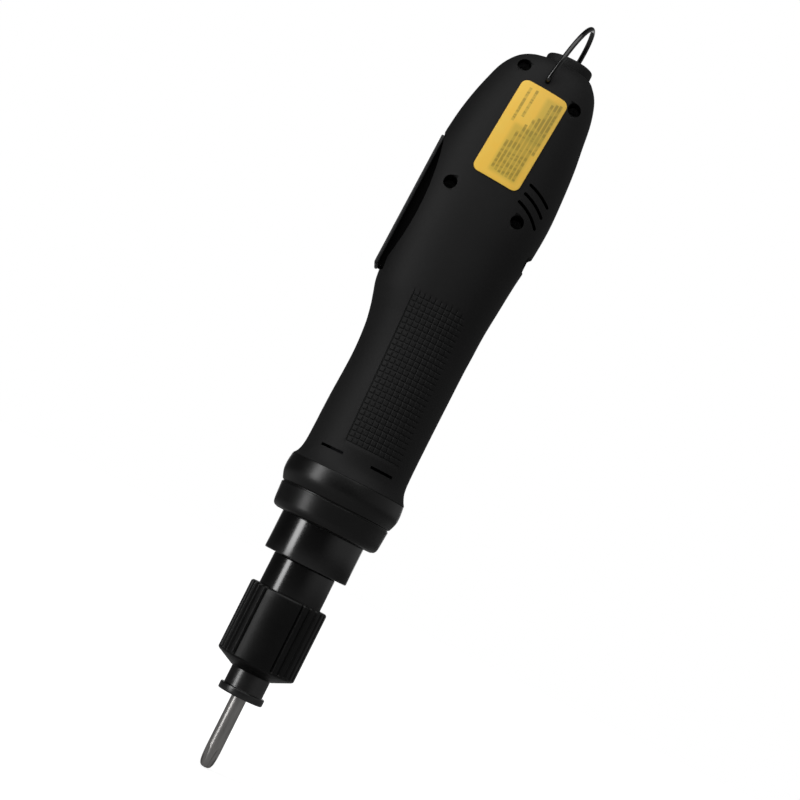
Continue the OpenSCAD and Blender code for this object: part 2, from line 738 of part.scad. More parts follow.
module clutch_ball_set(r) {
    for (k = [0 : 2]) rotate([0, 0, 120 * k + 60]) translate([clutch_ball_r, 0, clutch_ball_z]) sphere(r = r);
}
module clutch_pockets() {
    clutch_ball_set(clutch_ball_d / 2 + fit);
}
module clutch_balls() {
    color("#d6d8da") clutch_ball_set(clutch_ball_d / 2);
}
module clutch_plate() {
    color("#8f9193") difference() {
        tube(neck_bore / 2 - gap, pilot_d / 2 + gap, plate_bottom, plate_top);
        translate([0, 0, plate_bottom - 1])
            cylinder(r = spindle_d / 2 + 2 * fit, h = plate_top - plate_web - plate_bottom + 1, $fn = 6);
        clutch_pockets();
    }
}
module thrust_washer() {
    color(steel) tube(neck_bore / 2 - gap, spindle_d / 2 + gap, washer_bottom, plate_bottom - seat);
}
module torque_spring() {
    color("#8a8c8e") translate([0, 0, ring_top + 0.1])
        coil_spring(neck_bore / 2 - 0.4, spring_wire, spring_coils, washer_bottom - ring_top - 0.2);
}
module thrust_ring() {
    color("#b59a55") tube(neck_bore / 2 - 0.2, spindle_d / 2 + fit, nut_seat + seat, ring_top);
}

module torque_nut() {
    r = nut_d / 2;
    groove = knurl_depth * 1.4;
    color(black_steel) difference() {
        translate([0, 0, nut_bottom]) rotate_extrude() polygon([[0, 0], [sleeve_d / 2 + 0.6, 0],
            [r, nut_cone], [r, nut_top - nut_bottom - 0.6], [r - 0.6, nut_top - nut_bottom],
            [0, nut_top - nut_bottom]]);
        translate([0, 0, nut_seat]) cylinder(r = neck_d / 2 + 0.1, h = 60);
        translate([0, 0, nut_bottom - 1]) cylinder(r = sleeve_d / 2 + gap, h = 20);
        for (p = [0 : 2], k = [0 : knurl_grooves - 1])
            rotate([0, 0, 90 + knurl_turn + 120 * p + (k - (knurl_grooves - 1) / 2) * knurl_pitch])
                translate([r, 0, nut_edge + 0.6]) rotate([0, 0, 45]) translate([-groove / 2, -groove / 2, 0])
                    cube([groove, groove, nut_len + 1]);
    }
}

// ---- Spindle, sleeve and bit ----

module bit_ball_places() {
    for (s = [-1, 1]) translate([s * bit_ball_x, 0, bit_ball_z]) children();
}
module spindle() {
    r = spindle_d / 2;
    hex_bottom = washer_bottom - clutch_travel - 0.5;
    color("#c9cbcd") difference() {
        union() {
            tube(r, 0, stem_bottom, hex_bottom);
            translate([0, 0, hex_bottom - 0.1]) cylinder(r = r, h = shoulder_z - hex_bottom + 0.1, $fn = 6);
            tube(pilot_d / 2, 0, shoulder_z - 0.5, pilot_top);
        }
        translate([0, 0, stem_bottom - 1])
            cylinder(r = bit_d / 2 + fit, h = bit_top - bit_drive - stem_bottom + 1);
        translate([0, 0, bit_top - bit_drive - 1]) intersection() {
            cylinder(r = bit_d / 2 + fit, h = bit_drive + 1.6);
            translate([-5, -bit_flats / 2 - fit, 0]) cube([10, bit_flats + 2 * fit, bit_drive + 1.6]);
        }
        for (s = [-1, 1]) rod_x(0, bit_ball_z, bit_ball_d / 2 + fit, s > 0 ? 1 : -r - 1, s > 0 ? r + 1 : -1);
        for (z = [land_bottom - gap - ring_t, sleeve_top + 1.1])
            tube(r + 1, r - 0.5, z - seat, z + ring_t + seat);
    }
}
module bit_balls() {
    color("#d6d8da") bit_ball_places() sphere(r = bit_ball_d / 2);
}
module retaining_rings() {
    r = spindle_d / 2;
    color("#6d6f71") for (z = [land_bottom - gap - ring_t, sleeve_top + 1.1]) difference() {
        tube(z < land_bottom ? r + 0.55 : r + 0.75, r - 0.5 + seat, z, z + ring_t);
        translate([0, -0.8, z - 1]) cube([10, 1.6, 3]);
    }
}
module bit_sleeve() {
    r = spindle_d / 2;
    color("#26272a") difference() {
        union() {
            tube(sleeve_d / 2, 0, sleeve_bottom + 1, sleeve_top);
            translate([0, 0, sleeve_bottom]) rotate_extrude() polygon([[0, 0], [sleeve_flange_d / 2 - 0.4, 0],
                [sleeve_flange_d / 2, 0.4], [sleeve_flange_d / 2, sleeve_flange_h - 0.4],
                [sleeve_flange_d / 2 - 0.4, sleeve_flange_h], [0, sleeve_flange_h]]);
        }
        translate([0, 0, sleeve_bottom - 1]) cylinder(r = r + 0.6, h = 3);
        translate([0, 0, sleeve_bottom]) cylinder(r = r + fit, h = 20);
        translate([0, 0, land_top]) cylinder(r = r + 0.9, h = 20);
    }
}
module sleeve_spring() {
    color("#8a8c8e") translate([0, 0, land_top + 0.1])
        coil_spring(spindle_d / 2 + 0.8, sleeve_wire, 4, sleeve_top + 1 - land_top - 0.1);
}
module bit() {
    r = bit_d / 2;
    color("#d3d4d6") difference() {
        union() {
            translate([0, 0, tip_z]) rotate_extrude() polygon([[0, 0], [r * 0.4, 0],
                [r * 0.68, bit_tip * 0.08], [r * 0.86, bit_tip * 0.25], [r * 0.96, bit_tip * 0.55],
                [r, bit_tip], [0, bit_tip]]);
            tube(r, 0, tip_z + bit_tip, bit_top - bit_drive - gap);
            intersection() {
                tube(r, 0, bit_top - bit_drive - 1, bit_top);
                translate([-5, -bit_flats / 2, -100]) cube([10, bit_flats, 200]);
            }
        }
        tube(r + 1, r * 0.8, bit_ball_z - 1.5, bit_ball_z + 1.5);
        for (k = [0 : 3]) rotate([0, 0, 45 + 90 * k]) translate([r * 0.62, 0, tip_z - 0.5])
            rotate([0, 14, 0]) cylinder(r = r * 0.36, h = bit_tip + 1);
    }
}

// ---- Motor ----

module motor_plate() {
    color("#8a8c8e") difference() {
        tube(gearcase_bore / 2 - seat, 3 + seat, motor_plate_z, motor_plate_z + motor_plate_t);
        for (s = [-1, 1]) translate([s * 8, 0, motor_plate_z - 1]) cylinder(r = 1 + seat, h = 4);
        for (s = [-1, 1]) translate([s * 8, 0, motor_plate_z - 1]) cylinder(r = 1.9 + seat, h = 2.2);
    }
}
module motor_plate_screws() {
    color(steel) for (s = [-1, 1]) translate([s * 8, 0, 0]) {
        tube(1.9, 0.9, motor_plate_z, motor_plate_z + 1.2 - seat);
        tube(1, 0, motor_plate_z + 0.5, motor_z0 + 3.2);
    }
}
module motor_can() {
    r = motor_d / 2;
    color("#a9abad") difference() {
        tube(r, 0, motor_z0, motor_z1);
        translate([0, 0, motor_z0 + 1.5]) cylinder(r = r - can_wall, h = motor_len);
        translate([0, 0, motor_z0 - 1]) cylinder(r = 3 + seat, h = 4);
        for (s = [-1, 1]) translate([s * 8, 0, motor_z0 - 1]) cylinder(r = 1 + seat, h = 4);
    }
}
module motor_magnets() {
    color("#3a3a3c") for (a = [15, 195]) rotate([0, 0, a]) translate([0, 0, motor_z0 + 5])
        rotate_extrude(angle = 150) translate([magnet_r - magnet_t, 0]) square([magnet_t, core_len + 8]);
}
module shaft_bushes() {
    color("#a8793c") {
        tube(3, shaft_d / 2 + fit, motor_plate_z + 0.3, motor_z0 + 3);
        tube(3, shaft_d / 2 + fit, motor_z1 - 1, motor_z1 + 2);
    }
}
module motor_end_bell() {
    r = motor_d / 2;
    holder = r - can_wall - 1.3;
    color("#e8e4d6") difference() {
        union() {
            tube(r - 0.2, 0, motor_z1 + seat, motor_z1 + 2);
            tube(r - can_wall - seat, 0, motor_z1 - 2, motor_z1 + 1);
            for (s = [-1, 1]) block([s > 0 ? 4.6 : -holder, -3.4, brush_z - 1],
                [s > 0 ? holder : -4.6, 3.4, motor_z1 - 1]);
        }
        translate([0, 0, motor_z1 - 3]) cylinder(r = 3 + seat, h = 6);
        block([1.1 - holder, -1.5 - seat, brush_z - seat],
            [holder - 1.1, 1.5 + seat, brush_z + brush_h + seat]);
        for (s = [-1, 1]) rod_y(s * 8, motor_z1 + 1, 0.9, -1, 1);
    }
}
module motor_brushes() {
    reach = motor_d / 2 - can_wall - 3.2;
    color("#2c2c2e") difference() {
        for (s = [-1, 1]) block([s > 0 ? 3.5 : -reach, -1.5, brush_z],
            [s > 0 ? reach : -3.5, 1.5, brush_z + brush_h]);
        translate([0, 0, brush_z - 1]) cylinder(r = commutator_r + fit, h = brush_h + 2);
    }
}
core_z = motor_z0 + 8;
module rotor_shaft() {
    color(steel) tube(shaft_d / 2, 0, planet1_z, motor_z1 + 1.8);
}
module rotor_core() {
    color("#77797b") difference() {
        tube(core_r, shaft_d / 2 + seat, core_z, core_z + core_len);
        for (k = [0 : 4]) rotate([0, 0, 72 * k]) translate([0, 0, core_z - 1]) {
            translate([slot_place, 0, 0]) cylinder(r = slot_r, h = core_len + 2);
            translate([slot_place + 1.4, -0.7, 0]) cube([10, 1.4, core_len + 2]);
        }
    }
}
module rotor_windings() {
    r = core_r - 0.9;
    color("#b4642c") union() {
        for (z = [core_z - 3.2, core_z + core_len + 0.2]) translate([0, 0, z]) rotate_extrude()
            polygon([[3, 0.6], [3.6, 0], [r - 0.6, 0], [r, 0.6], [r, 2.4], [r - 0.6, 3], [3.6, 3], [3, 2.4]]);
        for (k = [0 : 4]) rotate([0, 0, 72 * k]) translate([slot_place, 0, core_z - 1])
            cylinder(r = slot_r - 0.15, h = core_len + 2);
    }
}
module commutator() {
    color("#c98a4b") difference() {
        tube(commutator_r, shaft_d / 2 + seat, brush_z - 1.5, brush_z + brush_h + 0.6);
        for (k = [0 : 4]) rotate([0, 0, 72 * k + 36]) translate([commutator_r - 0.6, -0.2, brush_z - 2])
            cube([2, 0.4, brush_h + 4]);
    }
}

// ---- Connector, board and switches ----

module connector_shell() {
    color("#c4c6c8") translate([boss_x, 0, 0]) difference() {
        tube(shell_r, 0, shell_bottom + 6 + seat, boss_top - 0.3);
        translate([0, 0, shell_bottom + 7]) cylinder(r = socket_d / 2, h = 40);
        translate([0, 0, shell_bottom]) cylinder(r = shell_r - 1, h = 10);
    }
}
module connector_insulator() {
    color("#202022") translate([boss_x, 0, 0]) difference() {
        tube(socket_d / 2 - seat, 0, shell_bottom + 7 + seat, shell_bottom + 11);
        socket_pin_places() translate([0, 0, shell_bottom]) cylinder(r = 0.5 + seat, h = 20);
    }
}
module socket_pin_places() {
    for (k = [0 : socket_pins - 1]) rotate([0, 0, 90 + 270 * (k - (socket_pins - 1) / 2) / socket_pins])
        translate([socket_d * 0.28, 0, 0]) children();
}
module connector_pins() {
    color("#d4b45a") translate([boss_x, 0, 0]) socket_pin_places()
        tube(0.5, 0, shell_bottom + 1, boss_top - 5.2);
}
module circuit_board() {
    color("#1f5a35") difference() {
        block([board_x[0], board_y, board_z[0]], [board_x[1], board_y + board_t, board_z[1]]);
        for (x = [-4.5, 4.5]) rod_y(x, board_z[0] + 2, 0.8 + seat, 0, 10);
    }
}
module brake_relay() {
    color("#20242c") block([-8.5, board_y - 7.6, board_z[1] - 12.8], [1.5, board_y - seat, board_z[1] - 0.8]);
}
module smoothing_capacitor() {
    color("#26334f") translate([-4, board_y - 3.2, board_z[0] + 2.5]) difference() {
        tube(3.15, 0, 0, 8.6);
        tube(5, 2.95, 1.4, 2.2);
    }
}
module brake_resistor() {
    color("#b9a68a") translate([5.4, board_y - 1.6, board_z[0] + 6]) union() {
        tube(1.5, 0, 1, 7);
        tube(0.3, 0, -0.3, 8.3);
        for (z = [0, 8]) rod_y(0, z, 0.3, 0, 1.6 - seat);
    }
}
module internal_leads() {
    start = motor_z1 + 2.1;
    colors = ["#a3231f", "#1d1d1f"];
    for (k = [0, 1]) let (s = 2 * k - 1)
        color(colors[k]) wire([for (t = [0 : 14]) let (u = t / 14)
            [s * (8 - 3.5 * u * u * (3 - 2 * u)),
                lead_bow * (1 - cos(360 * u)) / 2 + (board_y - lead_r - 0.05) * u * u,
                start + (board_z[0] + 1 - start) * u]], lead_r, [0, 1, 0]);
}

module start_switch_body() {
    color("#1a1a1c") difference() {
        block([slot_floor + pocket_wall + 0.1, -3, switch_z - 6.4], [-5.5, 3, switch_z + 6.4]);
        rod_x(0, switch_z, plunger_d / 2 + fit, -20, -8.5);
        for (s = [-1, 1]) rod_y(-7.4, switch_z + s * 4.8, 0.9, -4, 4);
    }
}
module start_switch_plunger() {
    color("#c9c4b4") union() {
        rod_x(0, switch_z, plunger_d / 2, plunger_tip + 0.4, -10.8);
        rod_x(0, switch_z, plunger_d / 2 - 0.3, plunger_tip, plunger_tip + 1);
    }
}
module direction_switch_body() {
    x1 = dir_floor - dir_wall - 0.1;
    color("#1a1a1c") difference() {
        block([x1 - 5, -6.5, dir_z - 3.2], [x1, 6.5, dir_z + 3.2]);
        block([x1 - 3, -dir_stem_y - dir_travel - gap, dir_z - dir_stem_z - fit],
            [x1 + 1, dir_stem_y + dir_travel + gap, dir_z + dir_stem_z + fit]);
    }
}
module direction_switch_knob() {
    color("#202022") union() {
        block([dir_floor - dir_wall - 2.6, -dir_stem_y, dir_z - dir_stem_z],
            [dir_floor + 1, dir_stem_y, dir_z + dir_stem_z]);
        block([dir_floor + fit, -3, dir_z - dir_h / 2 + gap], [dir_floor + 1.5, 3, dir_z + dir_h / 2 - gap]);
        for (y = [-2.1, 0, 2.1]) block([dir_floor + 1, y - 0.45, dir_z - dir_h / 2 + gap],
            [dir_floor + 2, y + 0.45, dir_z + dir_h / 2 - gap]);
    }
}

// ---- Start lever ----

// X of the lever's outer face at height z
function lever_x(z) = lever_top_x + (lever_end_x - lever_top_x) * (lever_z1 - z) / lever_len;
module lever_profile(points, y0, y1) {
    translate([0, y1, 0]) rotate([90, 0, 0]) linear_extrude(y1 - y0) polygon(points);
}
module start_lever() {
    w = lever_w / 2;
    end = lever_z0 + lever_t / 2;
    back = lever_t;
    color("#222224") difference() {
        union() {
            lever_profile([[lever_x(lever_z1), lever_z1], [lever_x(lever_z1) + back, lever_z1],
                [lever_x(end) + back, end], [lever_x(end), end]], -w, w);
            rod_y(lever_x(end) + back / 2, end, back / 2, -w, w);
            for (s = [-1, 1]) lever_profile([[lever_x(lever_z1) + 0.5, lever_z1], [skirt_x - 0.6, lever_z1],
                [skirt_x, lever_z1 - 1], [skirt_x, lever_z0 + 5], [skirt_x - 1.4, lever_z0 + 2.4],
                [lever_x(end) + 0.5, lever_z0 + 2.4]],
                s > 0 ? skirt_y - skirt_t : -skirt_y, s > 0 ? skirt_y : skirt_t - skirt_y);
            rod_x(0, switch_z, 2.2, lever_x(switch_z) + 0.5, plunger_tip - gap);
            rod_x(0, spring_z, spring_post_d / 2, lever_x(spring_z) + 0.5, lever_x(spring_z) + back + 1.4);
        }
        rod_y(lever_pivot[0], lever_pivot[2], lever_pin_d / 2 + fit, -20, 20);
    }
}
module lever_pin() {
    color(steel) rod_y(lever_pivot[0], lever_pivot[2], lever_pin_d / 2, -slot_y - 2.3, slot_y + 2.3);
}
module lever_spring() {
    x0 = lever_x(spring_z) + lever_t + 0.12;
    color("#8a8c8e") translate([x0, 0, spring_z]) rotate([0, 90, 0])
        coil_spring(spring_post_d / 2 + 0.75, 0.5, 6, slot_floor - 0.1 - x0);
}

// ---- Hanging bail ----

module bail_side(leg) {
    rod_y(0, 0, bail_wire / 2, bail_w / 2 - bail_stub, bail_w / 2 - bail_bend);
    translate([0, bail_w / 2 - bail_bend, bail_bend]) rotate([0, 90, 0])
        rotate_extrude(angle = 90) translate([bail_bend, 0]) circle(r = bail_wire / 2);
    translate([0, bail_w / 2, bail_bend]) cylinder(r = bail_wire / 2, h = leg - bail_bend);
}
module hanging_bail() {
    leg = bail_h - bail_wire / 2 - bail_w / 2;
    color(black_steel) translate(bail_pivot) rotate([0, 0, -bail_turn]) rotate([0, bail_lean, 0]) union() {
        bail_side(leg);
        mirror([0, 1, 0]) bail_side(leg);
        translate([0, 0, leg]) rotate([90, 0, 90]) rotate_extrude(angle = 180)
            translate([bail_w / 2, 0]) circle(r = bail_wire / 2);
    }
}

housing_front();
housing_rear();
housing_screws();
label_plate();
nose_cap();
clutch_housing();
ring_gear();
motor_plate();
motor_plate_screws();
motor_can();
motor_magnets();
shaft_bushes();
motor_end_bell();
motor_brushes();
connector_shell();
connector_insulator();
connector_pins();
start_switch_body();
start_switch_plunger();
direction_switch_body();
direction_switch_knob();
circuit_board();
brake_relay();
smoothing_capacitor();
brake_resistor();
internal_leads();
start_lever();
lever_pin();
lever_spring();
hanging_bail();
rotor_shaft();
rotor_core();
rotor_windings();
commutator();
sun_pinion();
carrier_1();
second_sun();
planet_1a();
planet_1b();
planet_1c();
carrier_2();
planet_2a();
planet_2b();
planet_2c();
bearing_outer_race();
bearing_inner_race();
bearing_balls();
bearing_cage();
clutch_balls();
clutch_plate();
thrust_washer();
torque_spring();
thrust_ring();
torque_nut();
spindle();
bit_balls();
bit_sleeve();
sleeve_spring();
retaining_rings();
bit();
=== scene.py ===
"""Electric torque screwdriver: an inline handheld driver for assembly benches.

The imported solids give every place. Each section below holds one piece or one
group of like pieces, from the housing to the bit and on to what is inside.
Lengths are written in millimetres and turned into metres as a mesh is made.
"""

import json
import math

import bmesh
import bpy
from mathutils import Matrix, Quaternion, Vector


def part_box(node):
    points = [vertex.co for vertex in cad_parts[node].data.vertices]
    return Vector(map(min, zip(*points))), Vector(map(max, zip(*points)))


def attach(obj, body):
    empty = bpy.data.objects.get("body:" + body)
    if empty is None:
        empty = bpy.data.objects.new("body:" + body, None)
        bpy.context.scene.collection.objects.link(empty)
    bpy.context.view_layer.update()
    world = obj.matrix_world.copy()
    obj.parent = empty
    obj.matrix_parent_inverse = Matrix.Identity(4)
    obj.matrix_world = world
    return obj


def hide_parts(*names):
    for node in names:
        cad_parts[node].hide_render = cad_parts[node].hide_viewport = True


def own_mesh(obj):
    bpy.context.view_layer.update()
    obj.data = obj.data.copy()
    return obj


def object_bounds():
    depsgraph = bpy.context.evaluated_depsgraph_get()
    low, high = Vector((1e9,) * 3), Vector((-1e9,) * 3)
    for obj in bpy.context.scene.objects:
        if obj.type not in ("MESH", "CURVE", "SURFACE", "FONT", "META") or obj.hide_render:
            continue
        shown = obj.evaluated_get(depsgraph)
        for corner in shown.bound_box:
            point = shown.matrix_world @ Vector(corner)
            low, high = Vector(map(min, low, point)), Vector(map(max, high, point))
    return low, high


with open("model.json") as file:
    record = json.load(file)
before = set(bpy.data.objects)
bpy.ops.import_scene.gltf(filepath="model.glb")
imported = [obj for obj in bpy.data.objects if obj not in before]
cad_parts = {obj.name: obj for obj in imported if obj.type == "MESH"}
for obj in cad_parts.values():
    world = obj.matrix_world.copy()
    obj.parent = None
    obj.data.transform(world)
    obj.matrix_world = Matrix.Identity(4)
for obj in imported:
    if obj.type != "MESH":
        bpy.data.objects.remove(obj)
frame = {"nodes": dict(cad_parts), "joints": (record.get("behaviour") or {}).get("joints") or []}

MM = 0.001
cad_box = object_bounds()
scene = bpy.context.scene
scene.view_settings.view_transform = "Standard"


# ---- Camera, room and lamps ----
# The tool stands on its bit and the camera, a little below its middle, leans
# so that the tool runs from lower left to upper right. The room is white behind
# and dim in front, a little lighter on the right. One narrow lamp on the left
# draws the bright lines along the metal, and one from above lights the front.

LENS = 110
VIEW_WIDTH = 0.250
CAMERA_SIDE = 1
CAMERA_RISE = -4
CAMERA_ROLL = 26.6
AIM_OFFSET = Vector((0.0042, 0, -0.0019))
FARTHEST_SEEN = 20
ROOM_GLOW = 0.05
RIGHT_GLOW = 0.3
RIGHT_SIDE = (0.2, 1.0)
WHITE_BEHIND = (0.90, 0.99)


def direction(azimuth, elevation):
    """The way from the object to a viewer at an azimuth and elevation in degrees."""
    a, e = math.radians(azimuth), math.radians(elevation)
    return Vector((math.sin(a) * math.cos(e), -math.cos(a) * math.cos(e), math.sin(e)))


middle = (cad_box[0] + cad_box[1]) / 2
eye = bpy.data.objects.new("Camera", bpy.data.cameras.new("Camera"))
scene.collection.objects.link(eye)
scene.camera = eye
eye.data.lens = LENS
eye.data.clip_end = FARTHEST_SEEN
toward = direction(CAMERA_SIDE, CAMERA_RISE)
eye.location = middle + AIM_OFFSET + toward * VIEW_WIDTH * LENS / eye.data.sensor_width
eye.rotation_mode = "QUATERNION"
eye.rotation_quaternion = (-toward).to_track_quat("-Z", "Y") @ Quaternion(
    (0, 0, 1), math.radians(CAMERA_ROLL))


class Line:
    """A node's output. Python's operators on it add Math nodes to its tree."""

    def __init__(self, bench, socket):
        self.bench = bench
        self.socket = socket

    def maths(self, operation, *values):
        return self.bench.maths(operation, *values)

    def also(self, output):
        """Another output of the same node."""
        return Line(self.bench, self.socket.node.outputs[output])

    def __add__(self, other):
        return self.maths("ADD", self, other)

    def __sub__(self, other):
        return self.maths("SUBTRACT", self, other)

    def __rsub__(self, other):
        return self.maths("SUBTRACT", other, self)

    def __mul__(self, other):
        return self.maths("MULTIPLY", self, other)

    def __truediv__(self, other):
        return self.maths("DIVIDE", self, other)

    def __mod__(self, other):
        return self.maths("FLOORED_MODULO", self, other)

    def __gt__(self, other):
        return self.maths("GREATER_THAN", self, other)

    def __lt__(self, other):
        return self.maths("LESS_THAN", self, other)

    def __abs__(self):
        return self.maths("ABSOLUTE", self)

    __radd__ = __add__
    __rmul__ = __mul__


class Bench:
    """A node tree under construction."""

    def __init__(self, tree):
        self.tree = tree
        tree.nodes.clear()

    def node(self, kind, settings=None, sockets=None, out=0):
        """Adds a node, makes its settings, feeds its sockets and gives one of its outputs."""
        made = self.tree.nodes.new(kind)
        for name, value in (settings or {}).items():
            if name == "stops":
                ramp = made.color_ramp
                while len(ramp.elements) < len(value):
                    ramp.elements.new(1)
                for stop, (place, colour) in zip(ramp.elements, value):
                    stop.position = place
                    stop.color = colour
            else:
                setattr(made, name, value)
        for name, value in (sockets or {}).items():
            if isinstance(value, Line):
                self.tree.links.new(value.socket, made.inputs[name])
            else:
                made.inputs[name].default_value = value
        return Line(self, made.outputs[out]) if made.outputs else made

    def maths(self, operation, *values):
        return self.node("ShaderNodeMath", {"operation": operation}, dict(enumerate(values)))

    def step(self, value, start, end):
        """A smooth rise from 0 to 1 as the value goes from start to end."""
        return self.node("ShaderNodeMapRange", {"interpolation_type": "SMOOTHSTEP"},
                         {"Value": value, "From Min": start, "From Max": end})

    def mix(self, factor, first, second):
        """A colour between two colours."""
        return self.node("ShaderNodeMix", {"data_type": "RGBA"},
                         {0: factor, 6: first, 7: second}, out=2)

    def coordinate(self, vector, axis):
        """One coordinate of a vector."""
        return self.node("ShaderNodeSeparateXYZ", None, {0: vector}, out=axis)


world = bpy.data.worlds.new("Room")
scene.world = world
world.use_nodes = True
room = Bench(world.node_tree)
ray = room.node("ShaderNodeLightPath")
mirrored = ray.also("Is Glossy Ray") + ray.also("Is Transmission Ray")
to_right = room.coordinate(room.node("ShaderNodeTexCoord"), "X")
seen_white = ray + mirrored * room.step(to_right.also("Y"), *WHITE_BEHIND)
room_light = room.step(to_right, *RIGHT_SIDE) * RIGHT_GLOW + ROOM_GLOW
glow = room.node("ShaderNodeBackground", None, {
    "Color": (1, 1, 1, 1), "Strength": room.maths("MAXIMUM", seen_white, room_light)})
room.node("ShaderNodeOutputWorld", None, {"Surface": glow})


def lamp(name, azimuth, elevation, away, width, height, brightness):
    """A soft box that faces the tool; brightness is its radiance."""
    light = bpy.data.lights.new(name, "AREA")
    light.shape = "RECTANGLE"
    light.size = width
    light.size_y = height
    light.energy = brightness * math.pi * width * height
    holder = bpy.data.objects.new(name, light)
    scene.collection.objects.link(holder)
    way = direction(azimuth, elevation)
    holder.location = middle + way * away
    holder.rotation_euler = way.to_track_quat("Z", "Y").to_euler()


lamp("Lamp_Left", azimuth=-56, elevation=4, away=0.70, width=0.20, height=0.50, brightness=8.0)
lamp("Lamp_Top", azimuth=-8, elevation=56, away=0.90, width=1.40, height=1.10, brightness=1.6)

FLOOR_BELOW = 0.0004
FLOOR_REACH = 6.0
FLOOR_GREY = 0.4
SHADOW_DEPTH = 0.2
SHADOW_FADE = (0.02, 0.2)
level = cad_box[0].z - FLOOR_BELOW
floor_mesh = bpy.data.meshes.new("Floor")
floor_mesh.from_pydata([(x * FLOOR_REACH, y * FLOOR_REACH, level)
                        for x, y in ((-1, -1), (1, -1), (1, 1), (-1, 1))], [], [(0, 1, 2, 3)])
floor = bpy.data.objects.new("Floor", floor_mesh)
scene.collection.objects.link(floor)
floor_paint = bpy.data.materials.new("Pale_Floor")
floor_paint.use_nodes = True
ground = Bench(floor_paint.node_tree)
matt = ground.node("ShaderNodeBsdfDiffuse", None, {"Color": (FLOOR_GREY, FLOOR_GREY, FLOOR_GREY, 1)})
ground_ray = ground.node("ShaderNodeLightPath")
ground_seen = ground_ray + ground_ray.also("Is Transmission Ray")
ground_spot = ground.node("ShaderNodeVectorMath", {"operation": "LENGTH"},
                          {0: ground.node("ShaderNodeTexCoord", out="Object")}, out="Value")
far_off = ground.step(ground_spot, *SHADOW_FADE)
lit = ground.node("ShaderNodeEmission", None, {
    "Color": (1, 1, 1, 1), "Strength": ground_seen * (far_off * SHADOW_DEPTH + (1 - SHADOW_DEPTH))})
ground.node("ShaderNodeOutputMaterial", None,
            {"Surface": ground.node("ShaderNodeAddShader", None, {0: matt, 1: lit})})
floor_mesh.materials.append(floor_paint)


# ---- Housing halves ----
# Two moulded shells of black ABS, split along the tool's length and drawn
# together by four screws. The mould is spark-eroded to a fine matt grain, and
# a panel of small square pads on each half gives the grip.

# GAP parts a dressed piece from the next, and OUT lies past the skin on any side
GAP = 0.02
OUT = 40
WALL = 2.2
GRIP_R = 17.2
HEAD_DEPTH = 18.8
CAP_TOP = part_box("nose_cap")[1].z / MM
FOOT = CAP_TOP + GAP
TAIL = 176.4
BOSS_X = 3.9
BOSS_R = 7.8
BOSS_LOW = TAIL - 6
BOSS_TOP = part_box("housing_front")[1].z / MM
BORE_R = 15.1
SPIGOT_R = 16.4

# height, half width to -X, half width to +X, half depth, squareness
STATIONS = [
    (FOOT, 19.4, 19.5, 19.4, 2),
    (31.3, GRIP_R + 1.1, GRIP_R + 1.4, GRIP_R + 1.2, 2),
    (33.6, GRIP_R + 0.4, GRIP_R + 0.5, GRIP_R + 0.4, 2),
    (37, GRIP_R + 0.1, GRIP_R + 0.1, GRIP_R + 0.1, 2),
    (50, GRIP_R - 0.1, GRIP_R, GRIP_R, 2),
    (66, GRIP_R - 0.6, GRIP_R + 0.1, GRIP_R - 0.1, 2),
    (76, GRIP_R, GRIP_R + 0.2, GRIP_R, 2.03),
    (82, GRIP_R + 1.1, GRIP_R + 0.4, GRIP_R + 0.3, 2.1),
    (86, GRIP_R + 2.2, GRIP_R + 0.5, HEAD_DEPTH * 0.945, 2.2),
    (90, GRIP_R + 3.3, GRIP_R + 0.7, HEAD_DEPTH * 0.955, 2.3),
    (97, 21.2, 18.5, HEAD_DEPTH * 0.97, 2.35),
    (107, 21.6, 19.4, HEAD_DEPTH * 0.985, 2.4),
    (118, 22, 20.7, HEAD_DEPTH, 2.4),
    (128, 22.2, 21.3, HEAD_DEPTH * 0.995, 2.4),
    (138, 22, 21, HEAD_DEPTH * 0.975, 2.4),
    (148, 21, 20.3, HEAD_DEPTH * 0.94, 2.4),
    (156, 19.5, 19.3, HEAD_DEPTH * 0.9, 2.35),
    (163, 17.6, 18.4, HEAD_DEPTH * 0.845, 2.3),
    (168, 15.9, 17.2, HEAD_DEPTH * 0.79, 2.25),
    (171.5, 13.8, 15.8, HEAD_DEPTH * 0.72, 2.2),
    (174, 11.4, 14, HEAD_DEPTH * 0.62, 2.1),
    (175.7, 8.2, 12.2, HEAD_DEPTH * 0.47, 2),
    (TAIL, 4.6, 9.6, HEAD_DEPTH * 0.3, 2),
]


def form(z):
    """Half widths, half depth and squareness of the housing at a height."""
    last = len(STATIONS) - 1
    i = 0
    while i < last - 1 and z >= STATIONS[i + 1][0]:
        i += 1
    low, high = STATIONS[i], STATIONS[i + 1]
    before, after = STATIONS[max(i - 1, 0)], STATIONS[min(i + 2, last)]
    h = high[0] - low[0]
    t = (z - low[0]) / h
    values = []
    for k in range(1, 5):
        start = (high[k] - before[k]) / (high[0] - before[0])
        end = (after[k] - low[k]) / (after[0] - low[0])
        values.append((2 * t ** 3 - 3 * t * t + 1) * low[k] + (t ** 3 - 2 * t * t + t) * h * start
                      + (3 * t * t - 2 * t ** 3) * high[k] + (t ** 3 - t * t) * h * end)
    return values


def power(value, exponent):
    """A power that keeps the value's sign."""
    return math.copysign(abs(value) ** exponent, value)


def outline(z, angle, inset=0.0):
    """A point of the housing's skin at a height and an angle in radians."""
    left, right, deep, square = form(z)
    left, right, deep = left - inset, right - inset, deep - inset
    return ((right - left) / 2 + (right + left) / 2 * power(math.cos(angle), 2 / square),
            deep * power(math.sin(angle), 2 / square), z)


def front_y(x, z):
    """The skin's front surface above a point of the tool's middle plane."""
    left, right, deep, square = form(z)
    across = abs(x - (right - left) / 2) / ((right + left) / 2)
    return -deep * (1 - across ** square) ** (1 / square)


